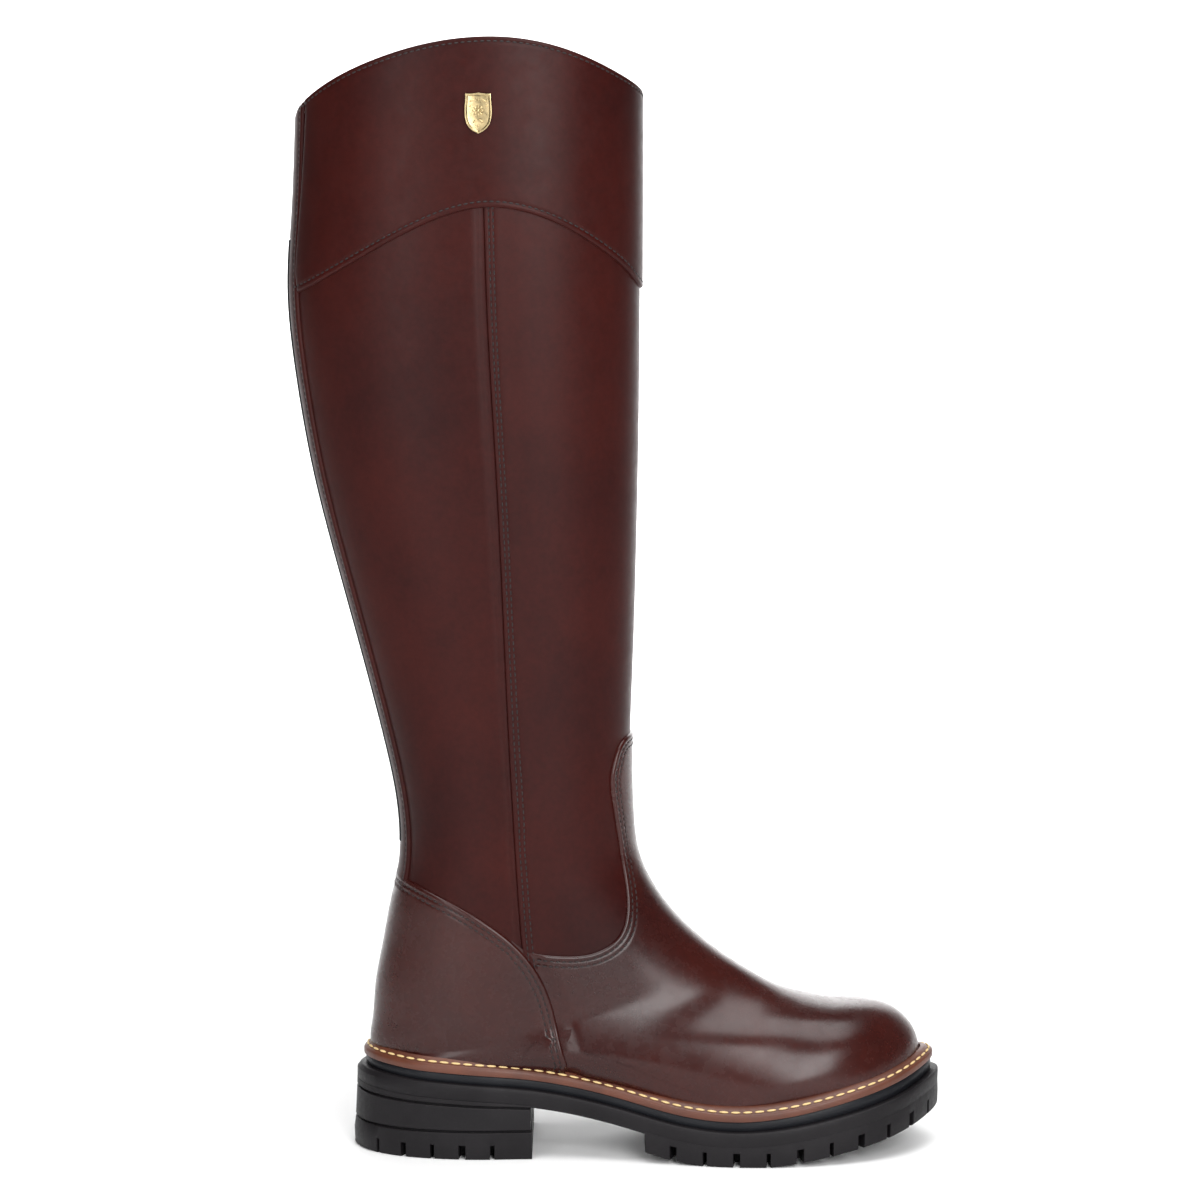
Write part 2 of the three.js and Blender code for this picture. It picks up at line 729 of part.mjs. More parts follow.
const layer = leatherThickness + clearance;
const stiffenerInside = layer + stiffenerThickness;
const liningOutside = stiffenerInside + clearance;
const liningInside = liningOutside + liningThickness;
const boardTop = raised(formBottom, layer + boardThickness);
const boardClear = under(raised(boardTop, clearance));
const liningClear = under(raised(boardTop, lastingMargin + clearance));
const liningShell = shell(-liningOutside, -liningInside);
const liningSeam = gradeZ(liningSeamHeight);
const liningSlotHalf = zipSlotWidth / 2 + 1;
const liningSlot = zipBand(-liningSlotHalf, liningSlotHalf, liningSeam - 20, high);
const liningBelowEdge = 1;
addPart(
  "shaft_lining",
  liningShell
    .intersect(between(liningSeam + gap, high))
    .subtract(overTop(liningBelowEdge))
    .subtract(liningSlot),
  liningLeather,
);
addPart(
  "foot_lining",
  liningShell.intersect(between(low, liningSeam - gap)).subtract(liningClear),
  liningLeather,
);

const stiffenerShell = shell(-layer, -stiffenerInside).subtract(boardClear);
const counterZone = block(
  gradeLine([
    [-190, 112],
    [-92, 112],
    [-70, 100],
    [-44, 62],
    [-34, 20],
    [-190, 20],
  ]),
);
const puffZone = block(
  gradeLine([
    [104, 110],
    [96, 60],
    [92, 20],
    [175, 20],
    [175, 110],
  ]),
);
addPart("heel_counter", stiffenerShell.intersect(counterZone), stiffener);
addPart("toe_puff", stiffenerShell.intersect(puffZone), stiffener);

// Upright walls a little inside a layer of the upper, for what lies on the bottom of the form.
const insideLayer = (depth) => {
  const inset = (x) => upperInset(x) + overlayThickness + depth + 2 * clearance;
  return slab([
    { inset, height: raised(formBottom, -5) },
    { inset, height: raised(formBottom, 40) },
  ]);
};
addPart("insole_board", form(-layer).intersect(under(boardTop)).intersect(insideLayer(layer)), fibreBoard);
const sockTop = raised(formBottom, liningInside + clearance + sockThickness);
addPart(
  "sock_liner",
  form(-liningInside - clearance)
    .intersect(under(sockTop))
    .intersect(insideLayer(liningInside))
    .subtract(boardClear),
  foam,
);

// ---------------------------------------------------------------- welt, filler, shank and midsole

const underForm = raised(formBottom, -clearance);
const weltHole = form(overlayThickness + clearance).add(
  slab([
    { inset: fillerInset - clearance, height: raised(weltBottom, -2) },
    { inset: fillerInset - clearance, height: formBottom },
  ]),
);
const weltBlock = slab([
  { inset: weltInset, height: weltBottom },
  { inset: weltInset, height: weltRidge },
  { inset: upperInset, height: featherLine },
]);
addPart("welt", weltBlock.subtract(weltHole), weltLeather);

// Stitching thread, lying in one round on the slope of the welt near its outer edge.
const threadFromEdge = 1.3;
const threadInset = (x) => weltInset(x) + threadFromEdge;
const threadRise = (weltSlopeHeight * threadFromEdge) / weltWidths.heel + threadDiameter / 2 + 0.4;
const threadPath = new THREE.CatmullRomCurve3(
  Array.from({ length: outlineFacets }, (_, i) => {
    const [x, y] = outlinePoint(i / outlineFacets, threadInset);
    return new THREE.Vector3(x, y, weltRidge(x) + threadRise);
  }),
  true,
);
const threadSection = new THREE.Shape();
threadSection.absarc(0, 0, threadDiameter / 2, 0, Math.PI * 2);
addPart(
  "welt_thread",
  solidOf(
    new THREE.ExtrudeGeometry(threadSection, {
      extrudePath: threadPath,
      steps: outlineFacets,
      curveSegments: 2,
      bevelEnabled: false,
    }),
  ),
  linenThread,
);

const fillerBottom = raised(underForm, -fillerThickness);
const shankX = gradeX(shankSize.middle);
const shankZone = (extra) =>
  box(gradeX(shankSize.length) + 2 * extra, shankSize.width + 2 * extra, 200, shankX, 0, 60);
const fillerSlab = slab([
  { inset: fillerInset, height: fillerBottom },
  { inset: fillerInset, height: underForm },
]);
const shankBottom = raised(underForm, -shankSize.thickness);
const shankSlot = shankZone(clearance).subtract(under(raised(shankBottom, -clearance)));
addPart("bottom_filler", fillerSlab.subtract(shankSlot), cork);
addPart("shank", shankZone(0).intersect(under(underForm)).subtract(under(shankBottom)), steel);

const midsoleTop = raised(weltBottom, -clearance);
const midsoleInset = (x) => weltInset(x) + midsoleRecess;
addPart(
  "midsole",
  slab([
    { inset: midsoleInset, height: raised(outsoleRim, clearance) },
    { inset: midsoleInset, height: midsoleTop },
  ]),
  midsoleRubber,
);

// ---------------------------------------------------------------- outsole and heel

const liftTop = (x) => heelLiftTop - heelRise * (x - heelBreast);

// Everything in front of the heel's breast, between two heights.
function breastBlock(bottom, top, extra) {
  const length = 400;
  return box(length, 2 * reach, top - bottom, heelBreast + extra + length / 2, 0, (top + bottom) / 2);
}

// Notches across the edge of the tread, square to the outline.
function notches(from, to, pitch, widths, bottom, top) {
  const cuts = [];
  const first = from / outlineLength;
  const count = Math.floor((to - from) / pitch);
  for (let i = 0; i <= count; i++) {
    const share = first + (i * pitch) / outlineLength;
    const [x, y] = outlinePoint(share, lugDepth / 2 - 3);
    const along = outlineCurve.getTangentAt(share);
    const cut = new THREE.BoxGeometry(widths[i % widths.length], lugDepth + 6, top(x) - bottom(x));
    cut.rotateZ(Math.atan2(along.y, along.x));
    cut.translate(x, y, (top(x) + bottom(x)) / 2);
    cuts.push(solidOf(cut));
  }
  return cuts;
}
const cutAll = (solid, cuts) => cuts.reduce((left, cut) => left.subtract(cut), solid);

// Length along the outline, on one side, up to where it passes a place along the foot.
function lengthTo(x, side) {
  const steps = 400;
  for (let i = 1; i < steps / 2; i++) {
    const share = side < 0 ? i / steps : 1 - i / steps;
    if (outlineCurve.getPointAt(share).x > x) return share * outlineLength;
  }
  return 0;
}

const archBottom = (x) => outsoleRim(x) - shankPlate;
const outsoleBlock = slab([
  { inset: 1.0, height: treadBottom },
  { inset: 0.2, height: raised(treadBottom, 1.2) },
  { inset: heelInset(0.6), height: raised(outsoleRim, -2) },
  { inset: heelInset(1), height: outsoleRim },
]);
const treadFront = gradeX(forefootTreadStart);
const archSpan = treadFront - heelBreast;
const archCut = box(archSpan, 2 * reach, 200, (treadFront + heelBreast) / 2).intersect(under(archBottom));
const heelCut = block([
  [farBack, low],
  [farBack, liftTop(farBack) + grooveHeight / 2],
  [heelBreast + 0.1, liftTop(heelBreast) + grooveHeight / 2],
  [heelBreast + 0.1, low],
]);
const outsoleTop = outsoleBlock.subtract(archCut).subtract(heelCut);
const heelFoot = slab([
  { inset: (x) => heelInset(0.5)(x) + grooveDepth, height: raised(liftTop, clearance / 2) },
  { inset: (x) => heelInset(0.5)(x) + grooveDepth, height: raised(liftTop, grooveHeight / 2 + 0.6) },
]).subtract(breastBlock(0, 80, -1.2));
const lugTop = (x) => treadBottom(x) + lugHeight;
const belowTread = (x) => treadBottom(x) - 3;
const frontNotches = notches(
  lengthTo(gradeX(25), -1),
  lengthTo(gradeX(22), 1),
  lugPitch,
  lugWidths,
  belowTread,
  lugTop,
);
const channelDepth = lugHeight - 2;
const channels = [-1, 1].map((side) =>
  box(gradeX(78), 3, 2 * channelDepth, gradeX(66), side * gradeY(14)),
);
addPart("outsole", cutAll(outsoleTop.add(heelFoot), [...frontNotches, ...channels]), soleRubber);

addPart(
  "heel_lift",
  slab([
    { inset: (x) => heelInset(0.25)(x) + grooveDepth, height: flat(heelTreadTop + gap) },
    { inset: heelInset(0.25), height: flat(heelTreadTop + grooveHeight / 2) },
    { inset: heelInset(0.5), height: raised(liftTop, -grooveHeight / 2) },
    { inset: (x) => heelInset(0.5)(x) + grooveDepth, height: raised(liftTop, -gap) },
  ]).subtract(breastBlock(0, 60, 0)),
  soleRubber,
);

const heelTread = slab([
  { inset: 0.8, height: flat(0) },
  { inset: 0, height: flat(1.0) },
  { inset: heelInset(0.25), height: flat(heelTreadTop - grooveHeight / 2) },
  { inset: (x) => heelInset(0.25)(x) + grooveDepth, height: flat(heelTreadTop - gap) },
]).subtract(breastBlock(-5, 60, -0.6));
const heelLengths = [gradeX(-107.4), gradeX(-50)];
const outerHeelNotches = notches(
  lengthTo(heelLengths[0], -1),
  lengthTo(heelLengths[1], -1) + 4,
  heelLugPitch,
  heelLugWidths,
  flat(-3),
  flat(lugHeight),
);
const innerHeelNotches = notches(
  lengthTo(heelLengths[1], 1) - 4,
  lengthTo(heelLengths[0], 1),
  heelLugPitch,
  heelLugWidths,
  flat(-3),
  flat(lugHeight),
);
addPart("heel_tread", cutAll(heelTread, [...outerHeelNotches, ...innerHeelNotches]), soleRubber);

// ---------------------------------------------------------------- zip

const zipBottomZ = gradeZ(zipBottom);
const zipTopZ = gradeZ(zipTop);
const tapeShell = shell(-layer, -stiffenerInside);
const tapeFrom = rowGap / 2;
for (const [name, side] of [
  ["front", 1],
  ["rear", -1],
]) {
  const [from, to] = [side * tapeFrom, side * (tapeFrom + tapeWidth)].sort((a, b) => a - b);
  const tapeBand = zipBand(from, to, zipBottomZ - 4, zipTopZ + 3);
  addPart("zip_tape_" + name, tapeShell.intersect(tapeBand), zipTapeWeb);
}
const underlayOutside = liningInside + clearance;
addPart(
  "zip_underlay",
  shell(-underlayOutside, -underlayOutside - underlayThickness).intersect(
    zipBand(-12, 14, zipBottomZ - 4, zipTopZ + 2),
  ),
  liningLeather,
);

// The zip's own frame: x across it to the front, y out of the boot, z up along it, at its upper end.
const zipPoint = (z) => new THREE.Vector3(zipX(z), innerWidthAt(z), z);
const zipUp = zipPoint(zipTopZ).sub(zipPoint(zipBottomZ)).normalize();
const zipOut = new THREE.Vector3(1, 0, 0).cross(zipUp).negate().normalize();
const zipAcross = zipOut.clone().cross(zipUp).normalize();
const zip = new THREE.Group();
zip.position.copy(zipPoint(zipTopZ));
zip.setRotationFromMatrix(new THREE.Matrix4().makeBasis(zipAcross, zipOut, zipUp));
boot.add(zip);

const zipLength = zipPoint(zipTopZ).distanceTo(zipPoint(zipBottomZ));
const tapeOutside = -layer;
const rowMiddleY = tapeOutside + clearance + rowThickness / 2;
const stopLength = 3;
for (const [name, side] of [
  ["front", 1],
  ["rear", -1],
]) {
  const across = side * (rowGap / 2 + rowWidth / 2);
  const rowLength = zipLength - 2 * stopLength - 2 * clearance;
  const row = box(rowWidth, rowThickness, rowLength, across, rowMiddleY, -zipLength / 2);
  addPart("zip_row_" + name, row, zipMetal, zip);
  const stop = box(rowWidth, rowThickness + 0.5, stopLength, across, rowMiddleY + 0.25, -stopLength / 2);
  addPart("zip_stop_" + name, stop, zipMetal, zip);
}
const bottomStopWidth = 2 * rowWidth + rowGap;
addPart(
  "zip_bottom_stop",
  box(bottomStopWidth, rowThickness + 0.5, stopLength, 0, rowMiddleY + 0.25, stopLength / 2 - zipLength),
  zipMetal,
  zip,
);

// Slider: a plate outside and one inside the tapes, a post between the rows, rims past the rows and a
// bridge for the puller.
const rowTop = tapeOutside + clearance + rowThickness;
const plateBottom = rowTop + sliderClearance;
const plateTop = plateBottom + sliderSize.plate;
const innerPlateTop = -stiffenerInside - sliderClearance;
const sliderHeight = plateTop - innerPlateTop + sliderSize.plate;
const slider = new THREE.Group();
slider.position.z = -sliderStart;
zip.add(slider);
const { length: sliderLength, width: sliderWidth } = sliderSize;
const rimWidth = (sliderWidth - rowGap) / 2 - rowWidth - sliderClearance;
const rimHeight = plateBottom - (tapeOutside + sliderClearance);
const outsidePlate = box(sliderWidth, sliderSize.plate, sliderLength, 0, plateBottom + sliderSize.plate / 2);
const insidePlate = box(sliderWidth, sliderSize.plate, sliderLength, 0, innerPlateTop - sliderSize.plate / 2);
const post = box(
  sliderSize.post,
  sliderHeight - 0.2,
  sliderLength * 0.6,
  0,
  plateTop - sliderHeight / 2,
  sliderLength * 0.15,
);
const rims = [-1, 1].map((side) =>
  box(
    rimWidth,
    rimHeight + 0.1,
    sliderLength,
    side * (sliderWidth / 2 - rimWidth / 2),
    plateBottom - rimHeight / 2 + 0.05,
  ),
);
const bridgeBar = box(
  bridge.width,
  bridge.bar,
  bridge.length,
  0,
  plateTop + bridge.height - bridge.bar / 2,
);
const bridgeFeet = [-1, 1].map((side) =>
  box(
    bridge.width,
    bridge.height,
    bridge.foot,
    0,
    plateTop + bridge.height / 2 - 0.05,
    side * (bridge.length / 2 - bridge.foot / 2),
  ),
);
const sliderSolid = [insidePlate, post, ...rims, bridgeBar, ...bridgeFeet].reduce(
  (whole, piece) => whole.add(piece),
  outsidePlate,
);
addPart("zip_slider", sliderSolid, zipMetal, slider);

// Puller: a cross pin under the bridge, two arms and a tab, hanging down.
const pinRadius = 0.65;
const pinY = plateTop + (bridge.height - bridge.bar) / 2;
const puller = new THREE.Group();
puller.position.y = pinY;
slider.add(puller);
const pin = new THREE.CylinderGeometry(pinRadius, pinRadius, pullerSize.width, 10);
pin.rotateZ(Math.PI / 2);
const armX = pullerSize.width / 2 - pullerSize.arm / 2;
const armThickness = 2 * pinRadius;
const arms = [-1, 1].map((side) =>
  box(pullerSize.arm, armThickness, pullerSize.eye, side * armX, 0, -pullerSize.eye / 2),
);
const tabLength = pullerSize.length - pullerSize.eye;
const tabShape = new THREE.Shape();
const tabHalf = pullerSize.width / 2;
tabShape.moveTo(-tabHalf, 0);
tabShape.lineTo(-tabHalf, -tabLength + tabHalf);
tabShape.absarc(0, -tabLength + tabHalf, tabHalf, Math.PI, 2 * Math.PI);
tabShape.lineTo(tabHalf, 0);
const tab = new THREE.ExtrudeGeometry(tabShape, {
  depth: pullerSize.thickness,
  curveSegments: 6,
  bevelEnabled: false,
});
tab.rotateX(Math.PI / 2);
tab.translate(0, pullerSize.thickness - pinRadius, -pullerSize.eye + 0.1);
const pullerSolid = [...arms, solidOf(tab)].reduce((whole, piece) => whole.add(piece), solidOf(pin));
addPart("zip_puller", pullerSolid, zipMetal, puller);

// ---------------------------------------------------------------- badge

const badgeZ = gradeZ(badgeHeight);
const badgePlace = fanPlaces[1];
const badgeX = zipX(badgeZ);
const badgeY = -fan.outer(badgePlace) - overlayThickness - clearance;

function shield(width, height) {
  const shape = new THREE.Shape();
  const [w, h] = [width / 2, height / 2];
  shape.moveTo(-w, h);
  shape.lineTo(w, h);
  shape.lineTo(w, -h * 0.15);
  shape.quadraticCurveTo(w * 0.9, -h * 0.75, 0, -h);
  shape.quadraticCurveTo(-w * 0.9, -h * 0.75, -w, -h * 0.15);
  shape.lineTo(-w, h);
  return shape;
}

// A plate in the badge's place, from one depth to another outwards.
function badgePlate(shape, from, to) {
  const geometry = new THREE.ExtrudeGeometry(shape, {
    depth: to - from,
    curveSegments: 5,
    bevelEnabled: false,
  });
  geometry.rotateX(Math.PI / 2);
  geometry.translate(badgeX, badgeY - from, badgeZ);
  return solidOf(geometry);
}
const { width: badgeWidth, height: badgeTall, thickness: badgeThick, rim, relief } = badgeSize;
const badgeBody = badgePlate(shield(badgeWidth, badgeTall), 0, badgeThick);
const badgeField = badgePlate(
  shield(badgeWidth - 2 * rim, badgeTall - 2 * rim),
  badgeThick - relief,
  badgeThick + 1,
);
const rosette = new THREE.Shape();
rosette.absarc(0, 0.8, 2.2, 0, Math.PI * 2);
addPart(
  "badge",
  badgeBody.subtract(badgeField).add(badgePlate(rosette, badgeThick - relief - 0.1, badgeThick)),
  badgeBrass,
);
const backingShape = shield(backingSize.width, backingSize.height);
const backingBlock = badgePlate(backingShape, -20, 10);
addPart("badge_backing", shell(-layer, -stiffenerInside).intersect(backingBlock), steel);

export default boot;
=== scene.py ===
# A knee-high riding boot for the right foot. +X points to the toe, -Y to the outer side, +Z up.
# Sizes in the settings are millimetres, except the studio's, and every mesh is made in metres.
from math import cos, pi, radians, sin

import bmesh
import bpy
import numpy as np
from mathutils import Matrix, Vector


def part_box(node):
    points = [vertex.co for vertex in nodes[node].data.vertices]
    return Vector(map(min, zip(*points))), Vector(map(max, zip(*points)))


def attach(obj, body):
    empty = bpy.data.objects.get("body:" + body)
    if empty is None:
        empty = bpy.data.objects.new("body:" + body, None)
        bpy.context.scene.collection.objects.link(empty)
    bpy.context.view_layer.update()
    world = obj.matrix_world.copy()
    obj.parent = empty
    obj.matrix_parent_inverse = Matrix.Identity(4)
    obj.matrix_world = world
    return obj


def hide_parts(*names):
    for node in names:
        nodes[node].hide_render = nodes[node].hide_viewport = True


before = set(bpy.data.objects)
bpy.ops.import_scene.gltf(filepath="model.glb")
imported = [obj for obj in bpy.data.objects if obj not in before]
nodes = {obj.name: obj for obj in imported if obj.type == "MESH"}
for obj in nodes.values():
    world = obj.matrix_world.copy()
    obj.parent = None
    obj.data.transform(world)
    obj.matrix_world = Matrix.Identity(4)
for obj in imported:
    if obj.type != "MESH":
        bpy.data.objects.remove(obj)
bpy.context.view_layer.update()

metre = 0.001  # one millimetre


# Curves


def naturalSpline(places, values):
    x, y = np.array(places, float), np.array(values, float)
    step = np.diff(x)
    slope = np.diff(y) / step
    last = len(x) - 1
    matrix, right = np.eye(last + 1), np.zeros(last + 1)
    for i in range(1, last):
        matrix[i, i - 1 : i + 2] = step[i - 1], 2 * (step[i - 1] + step[i]), step[i]
        right[i] = 6 * (slope[i] - slope[i - 1])
    bend = np.linalg.solve(matrix, right)

    def valueAt(place):
        place = np.asarray(place, float)
        i = np.clip(np.searchsorted(x, place, side="right") - 1, 0, last - 1)
        a = (x[i + 1] - place) / step[i]
        b = 1 - a
        curve = (a**3 - a) * bend[i] + (b**3 - b) * bend[i + 1]
        return a * y[i] + b * y[i + 1] + curve * step[i] ** 2 / 6

    return valueAt


def lengthAlong(points):
    return np.r_[0, np.cumsum(np.linalg.norm(np.diff(points, axis=0), axis=1))]


def sampled(places, run, values):
    return np.stack([np.interp(places, run, column) for column in values.T], -1)


def evenly(line, count, measured=None):
    # Evenly spaced places on a line, whose length may be measured on another.
    run = lengthAlong(line if measured is None else measured)
    return sampled(np.linspace(0, run[-1], count), run, line)


def alongLine(points, count):
    # Evenly spaced places on a smooth line through points.
    points = np.array(points, float)
    run = lengthAlong(points)
    fine = np.linspace(0, run[-1], 400)
    return evenly(np.stack([naturalSpline(run, column)(fine) for column in points.T], 1), count)


def eased(value, start, end):
    share = np.clip((np.asarray(value, float) - start) / (end - start), 0, 1)
    return share * share * (3 - 2 * share)


# The form that the upper is lasted on


bootForm = {
    "feather": [(-112, 47.6), (-86, 45.9), (-54, 43.8), (-26, 40.4), (2, 34.4), (28, 28.4), (54, 26.4),
                (80, 29.2), (104, 34.3), (122, 38.8), (140, 44.4)],
    "outline": [(-119, 0), (-113, -17), (-97, -29), (-68, -35.5), (-35, -34.6), (-2, -37.5), (28, -44.6),
                (58, -49.4), (90, -46.5), (117, -36.5), (134, -22.5), (146, 2), (140.5, 20.5), (124, 36.5),
                (98, 47), (72, 49.4), (45, 43), (15, 33.5), (-12, 31), (-40, 33.4), (-68, 35.5), (-97, 29),
                (-113, 17)],
    "shaft": [(10.3, -139.2, 512, 42.6), (10.3, -140.7, 462, 43.0), (10.3, -142.5, 422, 43.2),
              (10.2, -144.3, 388, 43.0), (10.0, -141.0, 350, 42.2), (9.4, -133.3, 305, 40.8),
              (8.4, -122.1, 260, 38.8), (7.0, -110.2, 215, 36.6), (5.9, -101.6, 180, 35.2),
              (6.6, -96.6, 150, 34.6)],  # front, back, height, outer half width
    "foot": [(9.3, 132, -97.0, 129, 33.8, 35.0, 0.48, 0), (16.0, 117.4, -100.6, 112, 33.2, 34.7, 0.47, 0),
             (26.3, 103.5, -104.4, 92, 32.4, 34.0, 0.45, 0), (38.5, 92, -107.9, 72, 31.8, 32.2, 0.42, 0),
             (49.5, 83.8, -109.3, 56, 31.4, 31.4, 0.4, 0), (57, 79, -109.2, 45, 31.4, 31, 0.4, 0),
             (65, 74.2, -98, 43.6, 31.9, 31.2, 0.4, 0), (76, 69.2, -74, 42.1, 33.2, 32, 0.4, 0),
             (88, 66.1, -40, 39.3, 35.2, 33.8, 0.38, 0), (99, 64.6, -6, 33.3, 37.4, 36.4, 0.34, 0),
             (109, 64.1, 24, 26.3, 39.2, 38.6, 0.3, 0.6), (118, 62.8, 46, 23.6, 40.2, 39.8, 0.26, 1.2),
             (125.5, 59.6, 62, 23.9, 40.2, 40.2, 0.2, 1.9), (131.3, 54.2, 74, 25.2, 39, 40.4, 0.14, 2.7),
             (134.8, 47.8, 84, 27.2, 37.4, 39.6, 0.09, 3.3), (136.4, 40.2, 92, 28.8, 35.6, 38.2, 0.05, 3.8)],
    # front x and z, back x and z, outer and inner half widths, widest place, lean of the toe
    "firstCornered": 15,
    "corner": (0.6, 0.985),  # least half width under the foot, and its greatest share of the section
    "roundness": (2.12, 1.86),  # of the shaft and of the toe
    "zipTop": (-59.5, 456),
    "zipBottom": (-43.5, 112),
    "innerWidth": (34.6, 0.0206),  # half width where the zip ends, and its gain for each millimetre up
    "overlay": 1.3,
    "waist": (-60, 40),  # the welt and the upper widen between these places
    "weltInset": (2.0, 0.6),
    "upperInset": (3.7, 1.3),
    "heelTaper": (2.6, -114, -84),
}
featherLine = naturalSpline(*zip(*bootForm["feather"]))
zipFoot = bootForm["zipBottom"]
zipLean = (bootForm["zipTop"][0] - zipFoot[0]) / (bootForm["zipTop"][1] - zipFoot[1])


def zipX(z):
    return zipFoot[0] + zipLean * (z - zipFoot[1])


def innerHalfWidth(z):
    width, gain = bootForm["innerWidth"]
    return width + (z - zipFoot[1]) * gain


def closedOutline(points, perSpan=60):
    points = np.array(points, float)
    around = []
    for i in range(len(points)):
        a, b, c, d = (points[(i + k - 1) % len(points)] for k in range(4))
        gaps = [max(np.linalg.norm(q - p) ** 0.5, 1e-6) for p, q in ((a, b), (b, c), (c, d))]
        into = ((b - a) / gaps[0] - (c - a) / (gaps[0] + gaps[1]) + (c - b) / gaps[1]) * gaps[1]
        out = ((c - b) / gaps[1] - (d - b) / (gaps[1] + gaps[2]) + (d - c) / gaps[2]) * gaps[1]
        t = np.linspace(0, 1, perSpan, endpoint=False)[:, None]
        square, cube = 3 * (c - b) - 2 * into - out, 2 * (b - c) + into + out
        around.append(b + into * t + square * t**2 + cube * t**3)
    around = np.concatenate([*around, points[:1]])
    return evenly(around, 1441)


outlineLine = closedOutline(bootForm["outline"])
outlineLength = float(np.linalg.norm(np.diff(outlineLine, axis=0), axis=1).sum())
outlineShares = np.linspace(0, 1, len(outlineLine))
outlineTangent = np.roll(outlineLine[:-1], -1, axis=0) - np.roll(outlineLine[:-1], 1, axis=0)
outlineTangent = np.vstack([outlineTangent, outlineTangent[:1]])
outlineTangent /= np.linalg.norm(outlineTangent, axis=1)[:, None]


def outlineAt(share, inset):
    # Places on the sole's outline, moved in by an inset that may change along the foot.
    share = np.asarray(share, float) % 1
    at, along = (sampled(share, outlineShares, values) for values in (outlineLine, outlineTangent))
    distance = inset(at[..., 0]) if callable(inset) else inset
    return np.stack([at[..., 0] - along[..., 1] * distance, at[..., 1] + along[..., 0] * distance], -1)


def heelTaper(share):
    depth, back, front = bootForm["heelTaper"]
    return lambda x: depth * share * (1 - eased(x, back, front))


def widened(x, sizes):
    return sizes[0] + sizes[1] * eased(x, *bootForm["waist"])


def weltInset(x):
    return widened(x, bootForm["weltInset"]) + heelTaper(1)(x)


def upperInset(x):
    return weltInset(x) + widened(x, bootForm["upperInset"])


upperEdge = outlineAt(outlineShares, lambda x: upperInset(x) + bootForm["overlay"])
halfPoints = len(upperEdge) // 2
outerEdge, innerEdge = upperEdge[: halfPoints + 1], upperEdge[halfPoints:][::-1]


def featherHalfWidth(x, inner):
    widths = [np.interp(x, e[:, 0], np.abs(e[:, 1])) for e in (outerEdge, innerEdge)]
    return np.where(inner, widths[1], widths[0])


def formSections():
    rows = []
    for frontX, backX, z, outer in bootForm["shaft"]:
        wide = (zipX(z) - backX) / (frontX - backX)
        rows.append((frontX, z, backX, z, outer, innerHalfWidth(z), wide, 0))
    rows += bootForm["foot"]
    rows = np.array(rows, float)
    places = (lengthAlong(rows[:, 0:2]) + lengthAlong(rows[:, 2:4])) / 2
    shaft, toe = bootForm["roundness"]
    rounded = shaft + (toe - shaft) * eased(rows[:, 2], -40, 92)
    keys = ("frontX", "frontZ", "backX", "backZ", "outer", "inner", "wide", "lean")
    fan = {key: naturalSpline(places, rows[:, k]) for k, key in enumerate(keys)}
    fan["roundness"] = naturalSpline(places, rounded)
    return places, fan


fanPlaces, fan = formSections()
soleStart = fanPlaces[bootForm["firstCornered"]]
lastPlace = fanPlaces[-1]
backTurn = 2.2  # turn at the middle of the back: 0 is the front line, 1 the widest place, 2 the lower corner


def sectionAt(place, inner):
    # The form's section: its sizes, its half width, how far its rear curve reaches and where that ends.
    at = {key: curve(place) for key, curve in fan.items()}
    width = np.where(inner, at["inner"], at["outer"])
    least, most = bootForm["corner"]
    corner = np.where(place < soleStart - 1e-6, least, featherHalfWidth(at["backX"], inner))
    narrow = np.clip(np.maximum(corner, least) / width, 0, most) ** at["roundness"]
    rear = at["wide"] / (1 - narrow) ** (1 / at["roundness"])
    return at, width, rear, np.arcsin(np.sqrt(narrow))


def bare(place, turn):
    # A point of the form: place runs down the fan, turn goes round it, below 0 on the outer side.
    place, turn = np.broadcast_arrays(np.asarray(place, float), np.asarray(turn, float))
    turn = turn - 2 * backTurn * (turn > backTurn) + 2 * backTurn * (turn < -backTurn)
    inner, t = turn > 0, np.abs(turn)
    at, width, rear, rearEnd = sectionAt(place, inner)
    power = 2 / at["roundness"]
    frontAngle = np.clip(t, 0, 1) * pi / 2
    rearAngle = pi / 2 - (np.clip(t, 1, 2) - 1) * (pi / 2 - rearEnd)
    isFront = t <= 1
    angle = np.where(isFront, frontAngle, rearAngle)
    reach = np.clip(np.cos(angle), 0, 1) ** power
    share = at["wide"] + np.where(isFront, (1 - at["wide"]) * reach, -rear * reach)
    half = width * np.sin(angle) ** power * np.where(t > 2, (backTurn - t) / (backTurn - 2), 1)
    x = at["backX"] + share * (at["frontX"] - at["backX"])
    z = at["backZ"] + share * (at["frontZ"] - at["backZ"])
    return np.stack([x, np.where(inner, half, -half) + share * at["lean"], z], -1)


placeStep, turnStep = 0.6, 0.006  # steps over which a slope is taken


def slopes(place, turn):
    # How a point of the form moves with its place and its turn.
    place, turn = np.broadcast_arrays(np.asarray(place, float), np.asarray(turn, float))
    isSole = place >= soleStart
    beforeCorner = isSole & (np.abs(turn) <= 2)
    low, high = (np.where(beforeCorner, np.clip(t, -2, 2), t) for t in (turn - turnStep, turn + turnStep))
    up, down = np.maximum(place - placeStep, 0), np.minimum(place + placeStep, lastPlace)
    # the first cornered place and those before it differ, so a slope is taken on one side of it
    up = np.where(isSole & (up < soleStart), soleStart, up)
    down = np.where(~isSole & (down >= soleStart), soleStart - 0.01, down)
    byPlace = (bare(down, turn) - bare(up, turn)) / np.maximum(down - up, 1e-3)[..., None]
    byTurn = (bare(place, high) - bare(place, low)) / (high - low)[..., None]
    return byPlace, byTurn


def outward(place, turn):
    byPlace, byTurn = slopes(place, turn)
    normal = np.cross(byPlace, byTurn)
    return normal / np.maximum(np.linalg.norm(normal, axis=-1), 1e-9)[..., None]


